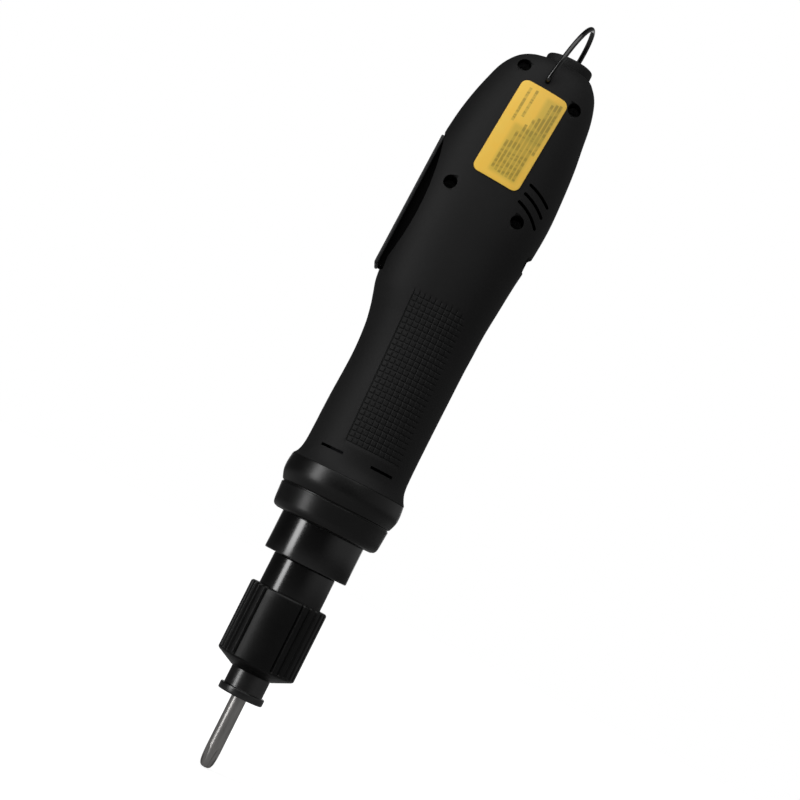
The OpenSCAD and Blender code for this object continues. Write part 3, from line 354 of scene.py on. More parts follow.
def smooth(value, start, end):
    """A smooth rise from 0 to 1 as the value goes from start to end."""
    t = min(max((value - start) / (end - start), 0), 1)
    return t * t * (3 - 2 * t)


def heights(*stretches):
    """Heights from stretches of (start, end, spacing)."""
    made = []
    for start, end, spacing in stretches:
        count = max(1, round((end - start) / spacing))
        made += [start + (end - start) * i / count for i in range(count)]
    return made + [stretches[-1][1]]


def solid(name, vertices, faces):
    """A closed mesh from points in millimetres, with its faces turned outwards."""
    mesh = bpy.data.meshes.new(name)
    mesh.from_pydata([[c * MM for c in v] for v in vertices], [], faces)
    shape = bmesh.new()
    shape.from_mesh(mesh)
    bmesh.ops.remove_doubles(shape, verts=shape.verts, dist=1e-7)
    bmesh.ops.recalc_face_normals(shape, faces=shape.faces)
    shape.to_mesh(mesh)
    shape.free()
    made = bpy.data.objects.new(name, mesh)
    scene.collection.objects.link(made)
    return made


def loft(name, rings):
    """A closed solid through rings of equal numbers of points."""
    count = len(rings[0])
    faces = [tuple(range(count)), tuple(range((len(rings) - 1) * count, len(rings) * count))]
    for i in range(len(rings) - 1):
        for j in range(count):
            k = (j + 1) % count
            faces.append((i * count + j, (i + 1) * count + j, (i + 1) * count + k, i * count + k))
    return solid(name, [p for ring in rings for p in ring], faces)


def block(low, high):
    """A box between two opposite corners."""
    return loft("block", [[(low[0], low[1], z), (high[0], low[1], z), (high[0], high[1], z),
                           (low[0], high[1], z)] for z in (low[2], high[2])])


def rod(start, end, r, steps=32, end_r=None):
    """A round rod or cone between two points."""
    axis = Vector(end) - Vector(start)
    side = axis.orthogonal().normalized()
    other = axis.cross(side).normalized()
    rings = []
    for centre, radius in ((start, r), (end, r if end_r is None else end_r)):
        rings.append([Vector(centre) + radius * (math.cos(2 * math.pi * i / steps) * side
                                                 + math.sin(2 * math.pi * i / steps) * other)
                      for i in range(steps)])
    return loft("rod", rings)


def prism_y(points, y0, y1):
    """A prism along Y over points (x, z)."""
    return loft("prism", [[(x, y, z) for x, z in points] for y in (y0, y1)])


def settle(made):
    """Turns an object's modifiers into its plain mesh."""
    now = made.evaluated_get(bpy.context.evaluated_depsgraph_get())
    mesh = bpy.data.meshes.new_from_object(now)
    made.modifiers.clear()
    old = made.data
    made.data = mesh
    bpy.data.meshes.remove(old)
    return made


def carve(made, others, operation="DIFFERENCE"):
    """Cuts solids from a piece, or joins them to it, and removes them."""
    for other in others:
        cut = made.modifiers.new("cut", "BOOLEAN")
        cut.solver = "MANIFOLD"
        cut.operation = operation
        cut.object = other
    settle(made)
    for other in others:
        bpy.data.objects.remove(other)
    return made


def soften(made, angle=32):
    """Smooth shading, with the edges sharper than an angle kept crisp."""
    made.data.shade_smooth()
    made.data.set_sharp_from_angle(angle=math.radians(angle))
    return made


class Finish(Bench):
    """A material: constants on the shader's sockets, and what varies from nodes."""

    def __init__(self, name, **constants):
        self.material = bpy.data.materials.new(name)
        self.material.use_nodes = True
        super().__init__(self.material.node_tree)
        surface = self.node("ShaderNodeBsdfPrincipled")
        self.shader = surface.socket.node
        self.node("ShaderNodeOutputMaterial", None, {"Surface": surface})
        for socket, value in constants.items():
            self.shader.inputs[socket.replace("_", " ")].default_value = value

    def feed(self, socket, value):
        """Links a line to one of the shader's sockets."""
        self.tree.links.new(value.socket, self.shader.inputs[socket])

    def place(self, stretch=(1, 1, 1)):
        """The place on the object, stretched to draw a pattern out along an axis."""
        return self.node("ShaderNodeMapping", None, {
            "Vector": self.node("ShaderNodeTexCoord", out="Object"), "Scale": stretch})

    def noise(self, size, detail=2.0, stretch=(1, 1, 1)):
        """Cloudy noise whose blots are about a size in millimetres."""
        return self.node("ShaderNodeTexNoise", None, {
            "Vector": self.place(stretch), "Scale": 1 / (size * MM), "Detail": detail})

    def relief(self, height, depth):
        """A bump of a depth in millimetres."""
        self.feed("Normal", self.node("ShaderNodeBump", None,
                                      {"Height": height, "Distance": depth * MM}))


def shade(colour, factor):
    """A colour made darker or lighter, with its alpha."""
    return (*[min(c * factor, 1) for c in colour], 1)


def moulded(name, colour, roughness, grain=0.25, depth=0.012, **constants):
    """Moulded plastic: a fine grain, faint clouds of tone and a handled sheen."""
    made = Finish(name, **constants)
    cloud = made.noise(14, 3)
    fine = made.noise(grain, 2)
    tone = made.step(cloud * 0.7 + fine * 0.3, 0.3, 0.7)
    made.feed("Base Color", made.mix(tone, shade(colour, 0.82), shade(colour, 1.2)))
    made.feed("Roughness", (roughness - 0.06) + cloud * 0.08 + fine * 0.04)
    made.relief(fine, depth)
    return made


class Recipe(Bench):
    """A Geometry Nodes tree with named sizes. It ends in plain geometry and its material."""

    def __init__(self, name, **sizes):
        super().__init__(bpy.data.node_groups.new(name, "GeometryNodeTree"))
        self.sizes = sizes
        for way in ("INPUT", "OUTPUT"):
            self.tree.interface.new_socket("Geometry", in_out=way, socket_type="NodeSocketGeometry")
        for size in sizes:
            self.tree.interface.new_socket(size, in_out="INPUT", socket_type="NodeSocketFloat")
        self.inlet = self.tree.nodes.new("NodeGroupInput")
        self.geometry = self.size("Geometry")

    def size(self, name):
        """A named size, as a line of the tree."""
        return Line(self, self.inlet.outputs[name])

    def position(self, axis):
        """One coordinate of the geometry's points."""
        return self.coordinate(self.node("GeometryNodeInputPosition"), axis)

    def sink(self, way, depth):
        """The geometry with its points moved against a way by a depth."""
        offset = self.node("ShaderNodeVectorMath", {"operation": "SCALE"},
                           {0: way, "Scale": depth * -1})
        return self.node("GeometryNodeSetPosition", None, {"Geometry": self.geometry, "Offset": offset})

    def close(self, geometry, finish):
        """Ends the tree in plain geometry with a finish."""
        plain = self.node("GeometryNodeRealizeInstances", None, {0: geometry})
        dressed = self.node("GeometryNodeSetMaterial", None,
                            {"Geometry": plain, "Material": finish.material})
        outlet = self.tree.nodes.new("NodeGroupOutput")
        self.tree.links.new(dressed.socket, outlet.inputs[0])

    def apply(self, made):
        """Runs the tree on a piece with the named sizes."""
        change = made.modifiers.new("recipe", "NODES")
        change.node_group = self.tree
        for item in self.tree.interface.items_tree:
            if item.in_out == "INPUT" and item.name in self.sizes:
                change[item.identifier] = self.sizes[item.name]
        return settle(made)


def install(made, finish, body, slot, *nodes):
    """Gives a piece its finish and body, and lets it stand for CAD nodes by hiding them. The slot is not
    used.
    """
    made.data.materials.clear()
    made.data.materials.append(finish.material)
    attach(made, body)
    if nodes:
        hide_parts(*nodes)
    return made


housing_finish = moulded("Housing_Plastic", (0.0028, 0.0028, 0.0029), 0.66, Specular_IOR_Level=0.26)

PAD_PITCH = 1.82
PAD_LEFT = -6.6
PAD_COLUMNS = 10
PAD_ROWS = 28
PAD_LOW = 40.0
PAD_LEAN = 0.033
PAD_STEPS = 6
PAD_RIGHT = PAD_LEFT + PAD_COLUMNS * PAD_PITCH
PAD_HIGH = PAD_LOW + PAD_ROWS * PAD_PITCH

pads = Recipe("Grip_Pads", Pitch=PAD_PITCH * MM, Left=PAD_LEFT * MM, Right=PAD_RIGHT * MM,
              Low=PAD_LOW * MM, High=PAD_HIGH * MM, Corner=4 * MM, Groove=0.4, Depth=0.26 * MM,
              Margin=0.2 * MM, Lean=PAD_LEAN)
pad_z = pads.position("Z")
pad_middle = (pads.size("Low") + pads.size("High")) / 2
pad_x = pads.position("X") + (pad_z - pad_middle) * pads.size("Lean")
pad_corner = pads.size("Corner")


def pad_groove(place, start):
    """1 in the groove between two pads and 0 on a pad's top."""
    share = (place - pads.size(start)) / pads.size("Pitch")
    return pads.step(abs(share % 1 - 0.5) * 2, 1 - pads.size("Groove"), 1)


def between(place, low, high):
    """1 between two edges of the panel, with its margin."""
    margin = pads.size("Margin")
    return (place > pads.size(low) - margin) * (place < pads.size(high) + margin)


def past(place, edge):
    """How far a place lies in the round corner towards an edge."""
    return pads.maths("MAXIMUM", place - (pads.size(edge) - pad_corner), 0)


corner_x, corner_z = past(pad_x, "Right"), past(pad_z, "High")
inside = (between(pad_x, "Left", "Right") * between(pad_z, "Low", "High")
          * (corner_x * corner_x + corner_z * corner_z < pad_corner * pad_corner))
sunk = pads.maths("MAXIMUM", pad_groove(pad_x, "Left"), pad_groove(pad_z, "Low"))
pads.close(pads.sink(pads.node("GeometryNodeInputNormal"), sunk * inside * pads.size("Depth")),
           housing_finish)

# between these heights the skin's columns follow the pads instead of the skin's own angles
STRAIGHT_FROM, STRAIGHT_TO = (34, 38), (97, 104)
COLUMNS_AT = 60
RIGHT_COLUMNS, LEFT_COLUMNS = 14, 16

pad_columns = [PAD_LEFT + (PAD_COLUMNS * PAD_STEPS + 1 - k) * PAD_PITCH / PAD_STEPS
               for k in range(PAD_COLUMNS * PAD_STEPS + 3)]


def column_angles(z):
    """Angles of the skin's columns, which run straight up through the panel of pads."""
    def at(x, height):
        left, right, _, square = form(height)
        share = (x - (right - left) / 2) / ((right + left) / 2)
        return math.acos(power(share, square / 2))
    straight = smooth(z, *STRAIGHT_FROM) * (1 - smooth(z, *STRAIGHT_TO))
    lean = (z - (PAD_LOW + PAD_HIGH) / 2) * PAD_LEAN
    front = [at(x, COLUMNS_AT) * (1 - straight) + (at(x - lean, z) * straight if straight else 0)
             for x in pad_columns]
    right_side = [front[0] * i / RIGHT_COLUMNS for i in range(RIGHT_COLUMNS)]
    left_side = [front[-1] + (math.pi - front[-1]) * i / LEFT_COLUMNS
                 for i in range(1, LEFT_COLUMNS + 1)]
    return right_side + front + left_side


def skin_ring(z, inset=0.0):
    """The housing's section at a height, through the skin's columns."""
    angles = column_angles(z)
    return ([outline(z, -a, inset) for a in angles]
            + [outline(z, a, inset) for a in reversed(angles[1:-1])])


skin_heights = heights((FOOT + 0.4, 34, 0.4), (34, PAD_LOW, 0.8),
                       (PAD_LOW, PAD_HIGH, PAD_PITCH / PAD_STEPS), (PAD_HIGH, 168, 1), (168, TAIL, 0.5))
foot_edge = [skin_ring(FOOT + rise, inset) for rise, inset in ((0, 0.3), (0.08, 0.12), (0.25, 0.02))]
skin = loft("Skin", foot_edge + [skin_ring(z) for z in skin_heights])
pads.apply(skin)


def turned(name, profile, x=0.0, steps=96):
    """A round solid about an upright axis, from a closed outline of (radius, height)."""
    count = len(profile)
    vertices = [(x + r * math.cos(2 * math.pi * i / steps), r * math.sin(2 * math.pi * i / steps), z)
                for i in range(steps) for r, z in profile]
    faces = []
    for i in range(steps):
        for j in range(count):
            k, n = (j + 1) % count, (i + 1) % steps
            if profile[j][0] > 0 or profile[k][0] > 0:
                faces.append((i * count + j, i * count + k, n * count + k, n * count + j))
    return solid(name, vertices, faces)


def eased(points, ease, steps=5):
    """An outline with its corners rounded; ease is one radius, or one for each corner."""
    made = []
    for i, here in enumerate(points):
        radius = ease[i] if isinstance(ease, (list, tuple)) else ease
        here = Vector(here)
        back, on = Vector(points[i - 1]) - here, Vector(points[(i + 1) % len(points)]) - here
        reach = min(radius, back.length * 0.49, on.length * 0.49)
        if reach < 1e-4:
            made.append(tuple(here))
            continue
        start, end = here + back.normalized() * reach, here + on.normalized() * reach
        for t in [n / steps for n in range(steps + 1)]:
            made.append(tuple(start * (1 - t) ** 2 + here * 2 * t * (1 - t) + end * t * t))
    return made


def lathed(name, corners, x=0.0, sides=96, steps=5):
    """A turned solid from corners of (radius, height, easing)."""
    points = eased([(r, z) for r, z, _ in corners], [ease for _, _, ease in corners], steps)
    return turned(name, points, x, sides)


SCREWS = [(-8.5, 169.4), (11.6, 163.3), (-12.7, 125.6), (11.3, 123.4)]
SCREW_HEAD_Y = -4
SCREW_COLUMN_R, SCREW_HOLE_R, SCREW_CORE_R = 2.9, 2.2, 1.22
SPIGOT_LOW, SPIGOT_TOP = CAP_TOP - 9.7, CAP_TOP + 0.5
LEVER_Z0, LEVER_Z1 = 93.7, 139.2
LEVER_SLOT, SKIRT_SLOT = 7.8, 6.5
# the thumb's hollow behind the lever is cut by a wide disc
HOLLOW_X, HOLLOW_Z, HOLLOW_R = -102.9, 116, 85
PIVOT = (-18.8, 136.6)
PIVOT_R = 1.02
SWITCH_Z = 110
DIR_Z = 114.6
DIR_FLOOR = 17.6
DIR_HALF, DIR_ROUND = 5.7, 2.8
bail_joint = next(j for j in frame["joints"] if j["name"] == "bail_swing")
BAIL_PIVOT = [c / MM for c in bail_joint["pos_m"]]
BAIL_AXIS = Vector(bail_joint["axis"])
BAIL_W = 33
BAIL_HOLE_R = 0.85
SHELL_LOW = 160
SHELL_R = 5.02
SLIT_W, SLIT_H, SLIT_LOW = 8.5, 0.9, 35.5
SLIT_TURNS = (-30, 30)
VENT_MID = (5.1, 113.8)
VENT_W = 1.0
VENT_CUT = (-28, -6)
# radius of a vent's middle line, and its start and end in degrees
VENT_ARCS = [(22.3, 56, 77.3), (19.15, 50.4, 76.2), (16, 42, 75.7)]
SEAM = 0.003


def through(x, z, r, start=-OUT, end=OUT, steps=32):
    """A rod from front to back."""
    return rod((x, start, z), (x, end, z), r, steps)


def upright(low, high, r, x=0.0, steps=64):
    """A rod along the tool."""
    return rod((x, 0, low), (x, 0, high), r, steps)


def bail_eyes(r, inner):
    """Rods along the bail's axis on both sides, from a distance to the middle outwards."""
    centre = Vector(BAIL_PIVOT)
    return [rod(centre + BAIL_AXIS * s * inner, centre + BAIL_AXIS * s * OUT, r) for s in (-1, 1)]


def slot_in_left(x, half, low, high):
    """A straight slot cut in from the left, as deep as x."""
    return block((-OUT, -half, low), (x, half, high))


cavity = loft("Cavity", [[outline(z, 2 * math.pi * (j + 0.5) / 96, WALL) for j in range(96)]
                         for z in heights((31.3, 168, 2), (168, 171.5, 1))])
carve(cavity, [through(x, z, SCREW_COLUMN_R) for x, z in SCREWS] + bail_eyes(2.3, 10.2)
      + [slot_in_left(-12, 8.5, LEVER_Z0 - 3, 123), slot_in_left(-14, 8.5, 121, LEVER_Z1 + 3),
         through(HOLLOW_X, HOLLOW_Z, HOLLOW_R + WALL, steps=256),
         block((DIR_FLOOR - 2, -10.5, DIR_Z - 4.8), (OUT, 10.5, DIR_Z + 4.8)),
         upright(SHELL_LOW - 2, 190, 6.6, BOSS_X)])

boss = lathed("Boss", [(0, BOSS_LOW, 0), (BOSS_R, BOSS_LOW, 0), (BOSS_R, BOSS_TOP, 1), (0, BOSS_TOP, 0)],
              BOSS_X)
spigot = turned("Spigot", [(0, SPIGOT_LOW), (SPIGOT_R, SPIGOT_LOW), (SPIGOT_R, SPIGOT_TOP),
                           (0, SPIGOT_TOP)], 0, 128)
carve(skin, [boss, spigot], "UNION")


def slit(side, angle):
    """A narrow slot low on the grip, on the front or the back."""
    turn = Matrix.Rotation(math.radians(angle), 3, "Z")
    corners = [(x * SLIT_W / 2, side * y) for x, y in ((-1, 8), (1, 8), (1, 30), (-1, 30))]
    return loft("slit", [[turn @ Vector((x, y, z)) for x, y in corners]
                         for z in (SLIT_LOW, SLIT_LOW + SLIT_H)])


def recess_ring(x):
    """The direction switch's recess: an upright slot with round ends, at a distance to the right."""
    turns = [2 * math.pi * (i + 0.5) / 48 for i in range(48)]
    return [(x, math.copysign(DIR_HALF, math.cos(a)) + DIR_ROUND * math.cos(a),
             DIR_Z + DIR_ROUND * math.sin(a)) for a in turns]


def countersink(x, z):
    """The eased rim of a screw's hole."""
    y = front_y(x, z)
    return rod((x, y - 0.6, z), (x, y + 0.4, z), 3.0, 48, 2.0)


carve(skin, [cavity, upright(CAP_TOP - 11, CAP_TOP + 3, BORE_R, steps=128),
             slot_in_left(-20.6, LEVER_SLOT, LEVER_Z0 - 0.8, LEVER_Z1 + 0.3),
             slot_in_left(-18.2, LEVER_SLOT, LEVER_Z0 - 0.8, LEVER_Z0 + 16),
             slot_in_left(-14, SKIRT_SLOT, LEVER_Z0 - 0.8, 121),
             slot_in_left(-16, SKIRT_SLOT, 120, LEVER_Z1 + 0.3),
             through(HOLLOW_X, HOLLOW_Z, HOLLOW_R, steps=512),
             through(*PIVOT, PIVOT_R, -8.9, 8.9),
             rod((-15, 0, SWITCH_Z), (-11, 0, SWITCH_Z), 1.25),
             loft("Recess", [recess_ring(x) for x in (DIR_FLOOR, OUT)]),
             block((DIR_FLOOR - 3, -4, DIR_Z - 1.3), (DIR_FLOOR + 1, 4, DIR_Z + 1.3)),
             upright(SHELL_LOW, 200, SHELL_R, BOSS_X),
             upright(SHELL_LOW - 4, SHELL_LOW + 6, 4, BOSS_X)]
      + bail_eyes(BAIL_HOLE_R, 11.3)
      + [slit(side, angle) for side in (-1, 1) for angle in SLIT_TURNS]
      + [through(x, z, SCREW_HOLE_R, end=SCREW_HEAD_Y, steps=48) for x, z in SCREWS]
      + [countersink(x, z) for x, z in SCREWS]
      + [through(x, z, SCREW_CORE_R, SCREW_HEAD_Y - 1, 8) for x, z in SCREWS])


def on_arc(x, y, r, degrees):
    """A place on an arc, from the arc's middle, its radius and an angle."""
    turn = math.radians(degrees)
    return x + r * math.cos(turn), y + r * math.sin(turn)


def arc_slot(radius, start, end):
    """A curved slot through the front skin, with round ends."""
    half = VENT_W / 2
    sweep = [start + (end - start) * i / 20 for i in range(21)]
    first, last = (on_arc(*VENT_MID, radius, degrees) for degrees in (start, end))
    points = [on_arc(*VENT_MID, radius + half, a) for a in sweep]
    points += [on_arc(*last, half, end + 180 * i / 8) for i in range(1, 8)]
    points += [on_arc(*VENT_MID, radius - half, a) for a in reversed(sweep)]
    points += [on_arc(*first, half, start + 180 + 180 * i / 8) for i in range(1, 8)]
    return prism_y(points, *VENT_CUT)


rear_skin = skin.copy()
rear_skin.data = skin.data.copy()
scene.collection.objects.link(rear_skin)
skin.name, rear_skin.name = "Housing_Front", "Housing_Rear"
carve(skin, [block((-60, -60, 0), (60, -SEAM, 300))], "INTERSECT")
carve(skin, [arc_slot(*arc) for arc in VENT_ARCS])
carve(rear_skin, [block((-60, SEAM, 0), (60, 60, 300))], "INTERSECT")
for half, node in ((skin, "housing_front"), (rear_skin, "housing_rear")):
    install(soften(half), housing_finish, "root", "housing_plastic", node)


# ---- Label plate ----
# A satin yellow film on the front of the head, with round corners. Rows of
# plain olive bars fill the places of its printed lines.

LABEL_W, LABEL_H, LABEL_T = 16.2, 33.0, 0.3
LABEL_LEAN = 4
LABEL_CORNER = 2.2
LABEL_EDGE = 0.08
LABEL_SEAT = 0.05
label_low, label_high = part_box("label_plate")
LABEL_MID = ((label_low.x + label_high.x) / 2 / MM, (label_low.z + label_high.z) / 2 / MM)

label_foot = [-LABEL_H / 2 + LABEL_CORNER * (1 - math.cos(math.pi / 2 * i / 8)) for i in range(9)]
label_straight = [label_foot[-1] + (LABEL_H - 2 * LABEL_CORNER) * i / 30 for i in range(1, 30)]
label_rows = label_foot + label_straight + [-v for v in reversed(label_foot)]


def label_line(v, rise):
    """A row of points across the label, at a rise above the skin."""
    over = max(abs(v) - (LABEL_H / 2 - LABEL_CORNER), 0)
    half = LABEL_W / 2 - LABEL_CORNER + math.sqrt(max(LABEL_CORNER ** 2 - over ** 2, 0))
    lean = math.radians(LABEL_LEAN)
    edge = LABEL_EDGE if rise > LABEL_SEAT else 0.0
    made = []
    for i in range(25):
        u = (i / 12 - 1) * (half - edge)
        w = v * (1 - edge / LABEL_H)
        x = LABEL_MID[0] + u * math.cos(lean) + w * math.sin(lean)
        z = LABEL_MID[1] + w * math.cos(lean) - u * math.sin(lean)
        made.append((x, front_y(x, z) - rise, z))
    return made


label = loft("Label_Film", [label_line(v, LABEL_SEAT) + label_line(v, LABEL_SEAT + LABEL_T)[::-1]
                            for v in label_rows])

label_finish = Finish("Label_Film", Coat_Roughness=0.25, Specular_IOR_Level=0.4)
label_u = label_finish.coordinate(label_finish.node("ShaderNodeMapping", {"vector_type": "TEXTURE"}, {
    "Vector": label_finish.node("ShaderNodeTexCoord", out="Object"),
    "Location": (LABEL_MID[0] * MM, 0, LABEL_MID[1] * MM),
    "Rotation": (0, math.radians(LABEL_LEAN), 0), "Scale": (MM, MM, MM)}), "X")
label_v = label_u.also("Z")


def stretch_of(line, start, end, soft):
    """1 between two places along a line, with soft ends."""
    return (label_finish.step(line, start - soft, start + soft)
            * (1 - label_finish.step(line, end - soft, end + soft)))


def bar(u0, u1, v0, v1, soft=0.14):
    """1 inside a bar of the label, from its edges in millimetres from the middle."""
    return stretch_of(label_u, u0, u1, soft) * stretch_of(label_v, v0, v1, soft)


# columns of bars run along the tool: place across, low end, high end
BARS = [(-2.6, -13.2, -3.5), (-1.3, -13.6, 0.5), (0, -13.8, 3.6), (1.3, -14, 6.2), (2.6, -14, 7.4),
        (3.9, -14, 13.2), (5.2, -14, 14), (6.4, -4, 14.4), (-4.6, 2.6, 14.6), (-2.4, 5.2, 14.8)]
BAR_HALF = 0.44
# olive shading under the columns: left, right, low and high edge
SHADED = [(-3.4, 5.9, -14.4, 2.5), (1.4, 7.1, -1, 14.4)]
SHADED_EDGE = 0.9
FILM, PALE_FILM = (0.90, 0.50, 0.045, 1), (0.84, 0.58, 0.09, 1)
SHADED_FILM, BAR_INK = (0.50, 0.37, 0.045, 1), (0.25, 0.18, 0.02, 1)
printed = None
for place, low_end, high_end in BARS:
    column = bar(place - BAR_HALF, place + BAR_HALF, low_end, high_end)
    printed = column if printed is None else label_finish.maths("MAXIMUM", printed, column)
dashes = label_finish.step(label_finish.noise(1.1, 1, (0.3, 1, 1)), 0.42, 0.56)
printed = printed * (dashes * 0.5 + 0.5)
film_cloud = label_finish.noise(6, 3)
film = label_finish.mix(film_cloud, FILM, PALE_FILM)
for edges in SHADED:
    film = label_finish.mix(bar(*edges, SHADED_EDGE) * 0.55, film, SHADED_FILM)
label_finish.feed("Base Color", label_finish.mix(printed * 0.7, film, BAR_INK))
label_finish.feed("Roughness", film_cloud * 0.15 + 0.38)
label_finish.relief(label_finish.noise(0.4, 2), 0.006)
install(soften(label), label_finish, "root", "label_film", "label_plate")


# ---- Housing screws ----
# Four cross-recessed steel screws, deep in the front half's holes. Each draws
# the two halves together at a column.


def metal(name, colour, roughness, grain=0.8, stretch=(1, 1, 1), depth=0.004, **constants):
    """Bare or plated metal: tool marks, faint stains and a roughness that follows them."""
    made = Finish(name, Metallic=1.0, **constants)
    stain = made.noise(9, 3)
    marks = made.noise(grain, 3, stretch)
    made.feed("Base Color", made.mix(made.step(stain * 0.6 + marks * 0.4, 0.3, 0.7),
                                     shade(colour, 0.88), shade(colour, 1.08)))
    made.feed("Roughness", (roughness - 0.05) + marks * 0.08 + stain * 0.04)
    made.relief(marks, depth)
    return made


SCREW_HEAD_R, SCREW_HEAD_H = 2.05, 1.8
SCREW_CROSS, SCREW_CROSS_W = 1.2, 0.25
screw_finish = metal("Screw_Black", (0.10, 0.10, 0.10), 0.4)


def repeated(name, source, places, finish):
    """Copies of one shape at several places, joined into one piece."""
    points = bpy.data.meshes.new(name)
    points.from_pydata([[c * MM for c in place] for place in places], [], [])
    made = bpy.data.objects.new(name, points)
    scene.collection.objects.link(made)
    recipe = Recipe(name)
    shape = recipe.node("GeometryNodeObjectInfo", None, {"Object": source}, out="Geometry")
    recipe.close(recipe.node("GeometryNodeInstanceOnPoints", None, {
        "Points": recipe.geometry, "Instance": shape}), finish)
    recipe.apply(made)
    bpy.data.objects.remove(source)
    return made


screw = through(0, 0, SCREW_HEAD_R, -SCREW_HEAD_H, 0, 40)
carve(screw, [through(0, 0, SCREW_CORE_R - GAP, -0.5, 11.4, 24)], "UNION")
carve(screw, [block((-wide, -3, -high), (wide, -0.8, high))
              for wide, high in ((SCREW_CROSS, SCREW_CROSS_W), (SCREW_CROSS_W, SCREW_CROSS))])
screw_places = [(x, SCREW_HEAD_Y - GAP, z) for x, z in SCREWS]
screws = repeated("Housing_Screws", screw, screw_places, screw_finish)
install(soften(screws), screw_finish, "root", "screw_steel", "housing_screws")


# ---- Nose cap ----
# A turned-looking moulding of gloss black nylon over the end of the housing.
# A deep groove parts its lower band from the upper bulge.

cap_finish = moulded("Cap_Gloss", (0.0008, 0.0008, 0.0008), 0.32, 0.9, 0.002, Specular_IOR_Level=0.4)
CAP_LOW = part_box("nose_cap")[0].z / MM
CAP_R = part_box("nose_cap")[1].x / MM
CAP_H = CAP_TOP - CAP_LOW
CAP_STEP = CAP_TOP - 10
GEARCASE_R, GEARCASE_LOW = 14.8, 14.6
RELIEF_R = 13.8

# distance inwards from the widest radius, share of the height, easing
CAP_OUTLINE = [(3.6, 0, 0), (2.4, 0.025, 0.4), (1.9, 0.065, 0.5), (1.65, 0.13, 0.8), (1.5, 0.26, 1),
               (1.35, 0.4, 0.6), (1.25, 0.465, 0.1), (1.6, 0.475, 0.05), (1.6, 0.495, 0.05),
               (1.15, 0.51, 0.15), (0.8, 0.56, 0.5), (0.35, 0.63, 0.6), (0.08, 0.7, 0.6), (0, 0.78, 0.7),
               (0.1, 0.87, 0.6), (0.25, 0.94, 0.4), (0.4, 1, 0.1)]
cap_outer = [(CAP_R - inwards, CAP_LOW + share * CAP_H, ease) for inwards, share, ease in CAP_OUTLINE]
cap_inner = [(SPIGOT_R + GAP, CAP_TOP, 0), (SPIGOT_R + GAP, CAP_STEP, 0), (GEARCASE_R + GAP, CAP_STEP, 0),
             (GEARCASE_R + GAP, GEARCASE_LOW - GAP, 0), (RELIEF_R + GAP, GEARCASE_LOW - GAP, 0),
             (RELIEF_R + GAP, CAP_LOW, 0)]
cap = lathed("Nose_Cap", cap_outer + cap_inner, 0, 160, 6)
install(soften(cap, 50), cap_finish, "root", "cap_plastic", "nose_cap")


# ---- Clutch housing ----
# One turned steel tube, blackened and polished. It is the gear case at the top,
# the smooth collar that a bench arm grips, and the neck that the nut screws on.
# Above the collar, inside the housing, the steel is rougher, and its colour is
# darkened to near black as painted shade, so that the slits in the grip show dark.

OXIDE, OXIDE_ROUGHNESS = (0.06, 0.06, 0.06), 0.18
TURNED = (0.1, 0.1, 6)
black_finish = metal("Black_Oxide", OXIDE, OXIDE_ROUGHNESS, 0.5, TURNED, 0.0004)
case_finish = metal("Black_Tube", OXIDE, OXIDE_ROUGHNESS, 0.5, TURNED, 0.0004)
case_z = case_finish.coordinate(case_finish.place(), "Z")
# in_housing marks the tube inside the housing: rougher there, and darkened as painted shade
in_housing = case_finish.step(case_z, GEARCASE_LOW * MM, (GEARCASE_LOW + 0.4) * MM)
case_finish.feed("Roughness", in_housing * 0.5 + OXIDE_ROUGHNESS)
case_finish.feed("Base Color", case_finish.mix(in_housing, (*OXIDE, 1), (0.008, 0.008, 0.008, 1)))
NECK_R, COLLAR_R, COLLAR_TOP = 10.45, 14.0, 12.6
CASE_BORE_R, SEAT_R, NECK_BORE_R = 13, 12.02, 8.6
SEAT_LOW, SEAT_TOP = 9.7, 14.7
NECK_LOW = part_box("clutch_housing")[0].z / MM
CASE_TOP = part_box("clutch_housing")[1].z / MM
case = lathed("Clutch_Housing", [
    (NECK_BORE_R, NECK_LOW, 0.2), (NECK_R, NECK_LOW, 0.5), (NECK_R, -0.35, 0.15), (NECK_R - 0.25, 0, 0.1),
    (COLLAR_R, 0, 0.45), (COLLAR_R, COLLAR_TOP, 0.1), (RELIEF_R, COLLAR_TOP, 0),
    (RELIEF_R, GEARCASE_LOW, 0.1), (GEARCASE_R, GEARCASE_LOW, 0.2), (GEARCASE_R, CASE_TOP, 0.2),
    (CASE_BORE_R, CASE_TOP, 0.1), (CASE_BORE_R, SEAT_TOP, 0.1), (SEAT_R, SEAT_TOP, 0),
    (SEAT_R, SEAT_LOW, 0), (NECK_BORE_R, SEAT_LOW, 0.2)], 0, 160)
install(soften(case, 50), case_finish, "root", "black_steel", "clutch_housing")


# ---- Torque nut ----
# A blackened steel nut that screws along the neck and loads the clutch spring.
# Three groups of fine lengthwise grooves give the fingers a hold between three
# smooth panels.

NUT_R = 13.0
NUT_BORE_R, NUT_THREAD_R = 6.8, 10.55
NUT_CONE = 2.9
NUT_SEAT = -31
nut_finish = metal("Nut_Oxide", (0.021, 0.021, 0.021), 0.38, 0.6, (0.2, 0.2, 4), 0.001)
nut_low, nut_top = (corner.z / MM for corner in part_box("torque_nut"))
nut_edge = nut_low + NUT_CONE
knurl_foot = nut_edge + 0.35
nut_side = heights((knurl_foot, nut_edge + 1.1, 0.15), (nut_edge + 1.1, nut_top - 0.8, 2.5))
nut_outline = ([(NUT_BORE_R, nut_low), (NUT_BORE_R + 0.3, nut_low), (NUT_R - 0.5, nut_edge - 0.28),
                (NUT_R - 0.12, nut_edge + 0.05)]
               + [(NUT_R, z) for z in nut_side]
               + [(NUT_R - 0.06, nut_top - 0.5), (NUT_R - 0.22, nut_top - 0.2), (NUT_R - 0.5, nut_top),
                  (NUT_THREAD_R + 0.35, nut_top), (NUT_THREAD_R, nut_top - 0.35),
                  (NUT_THREAD_R, NUT_SEAT), (NUT_BORE_R, NUT_SEAT)])
nut = turned("Torque_Nut", nut_outline, 0, 720)

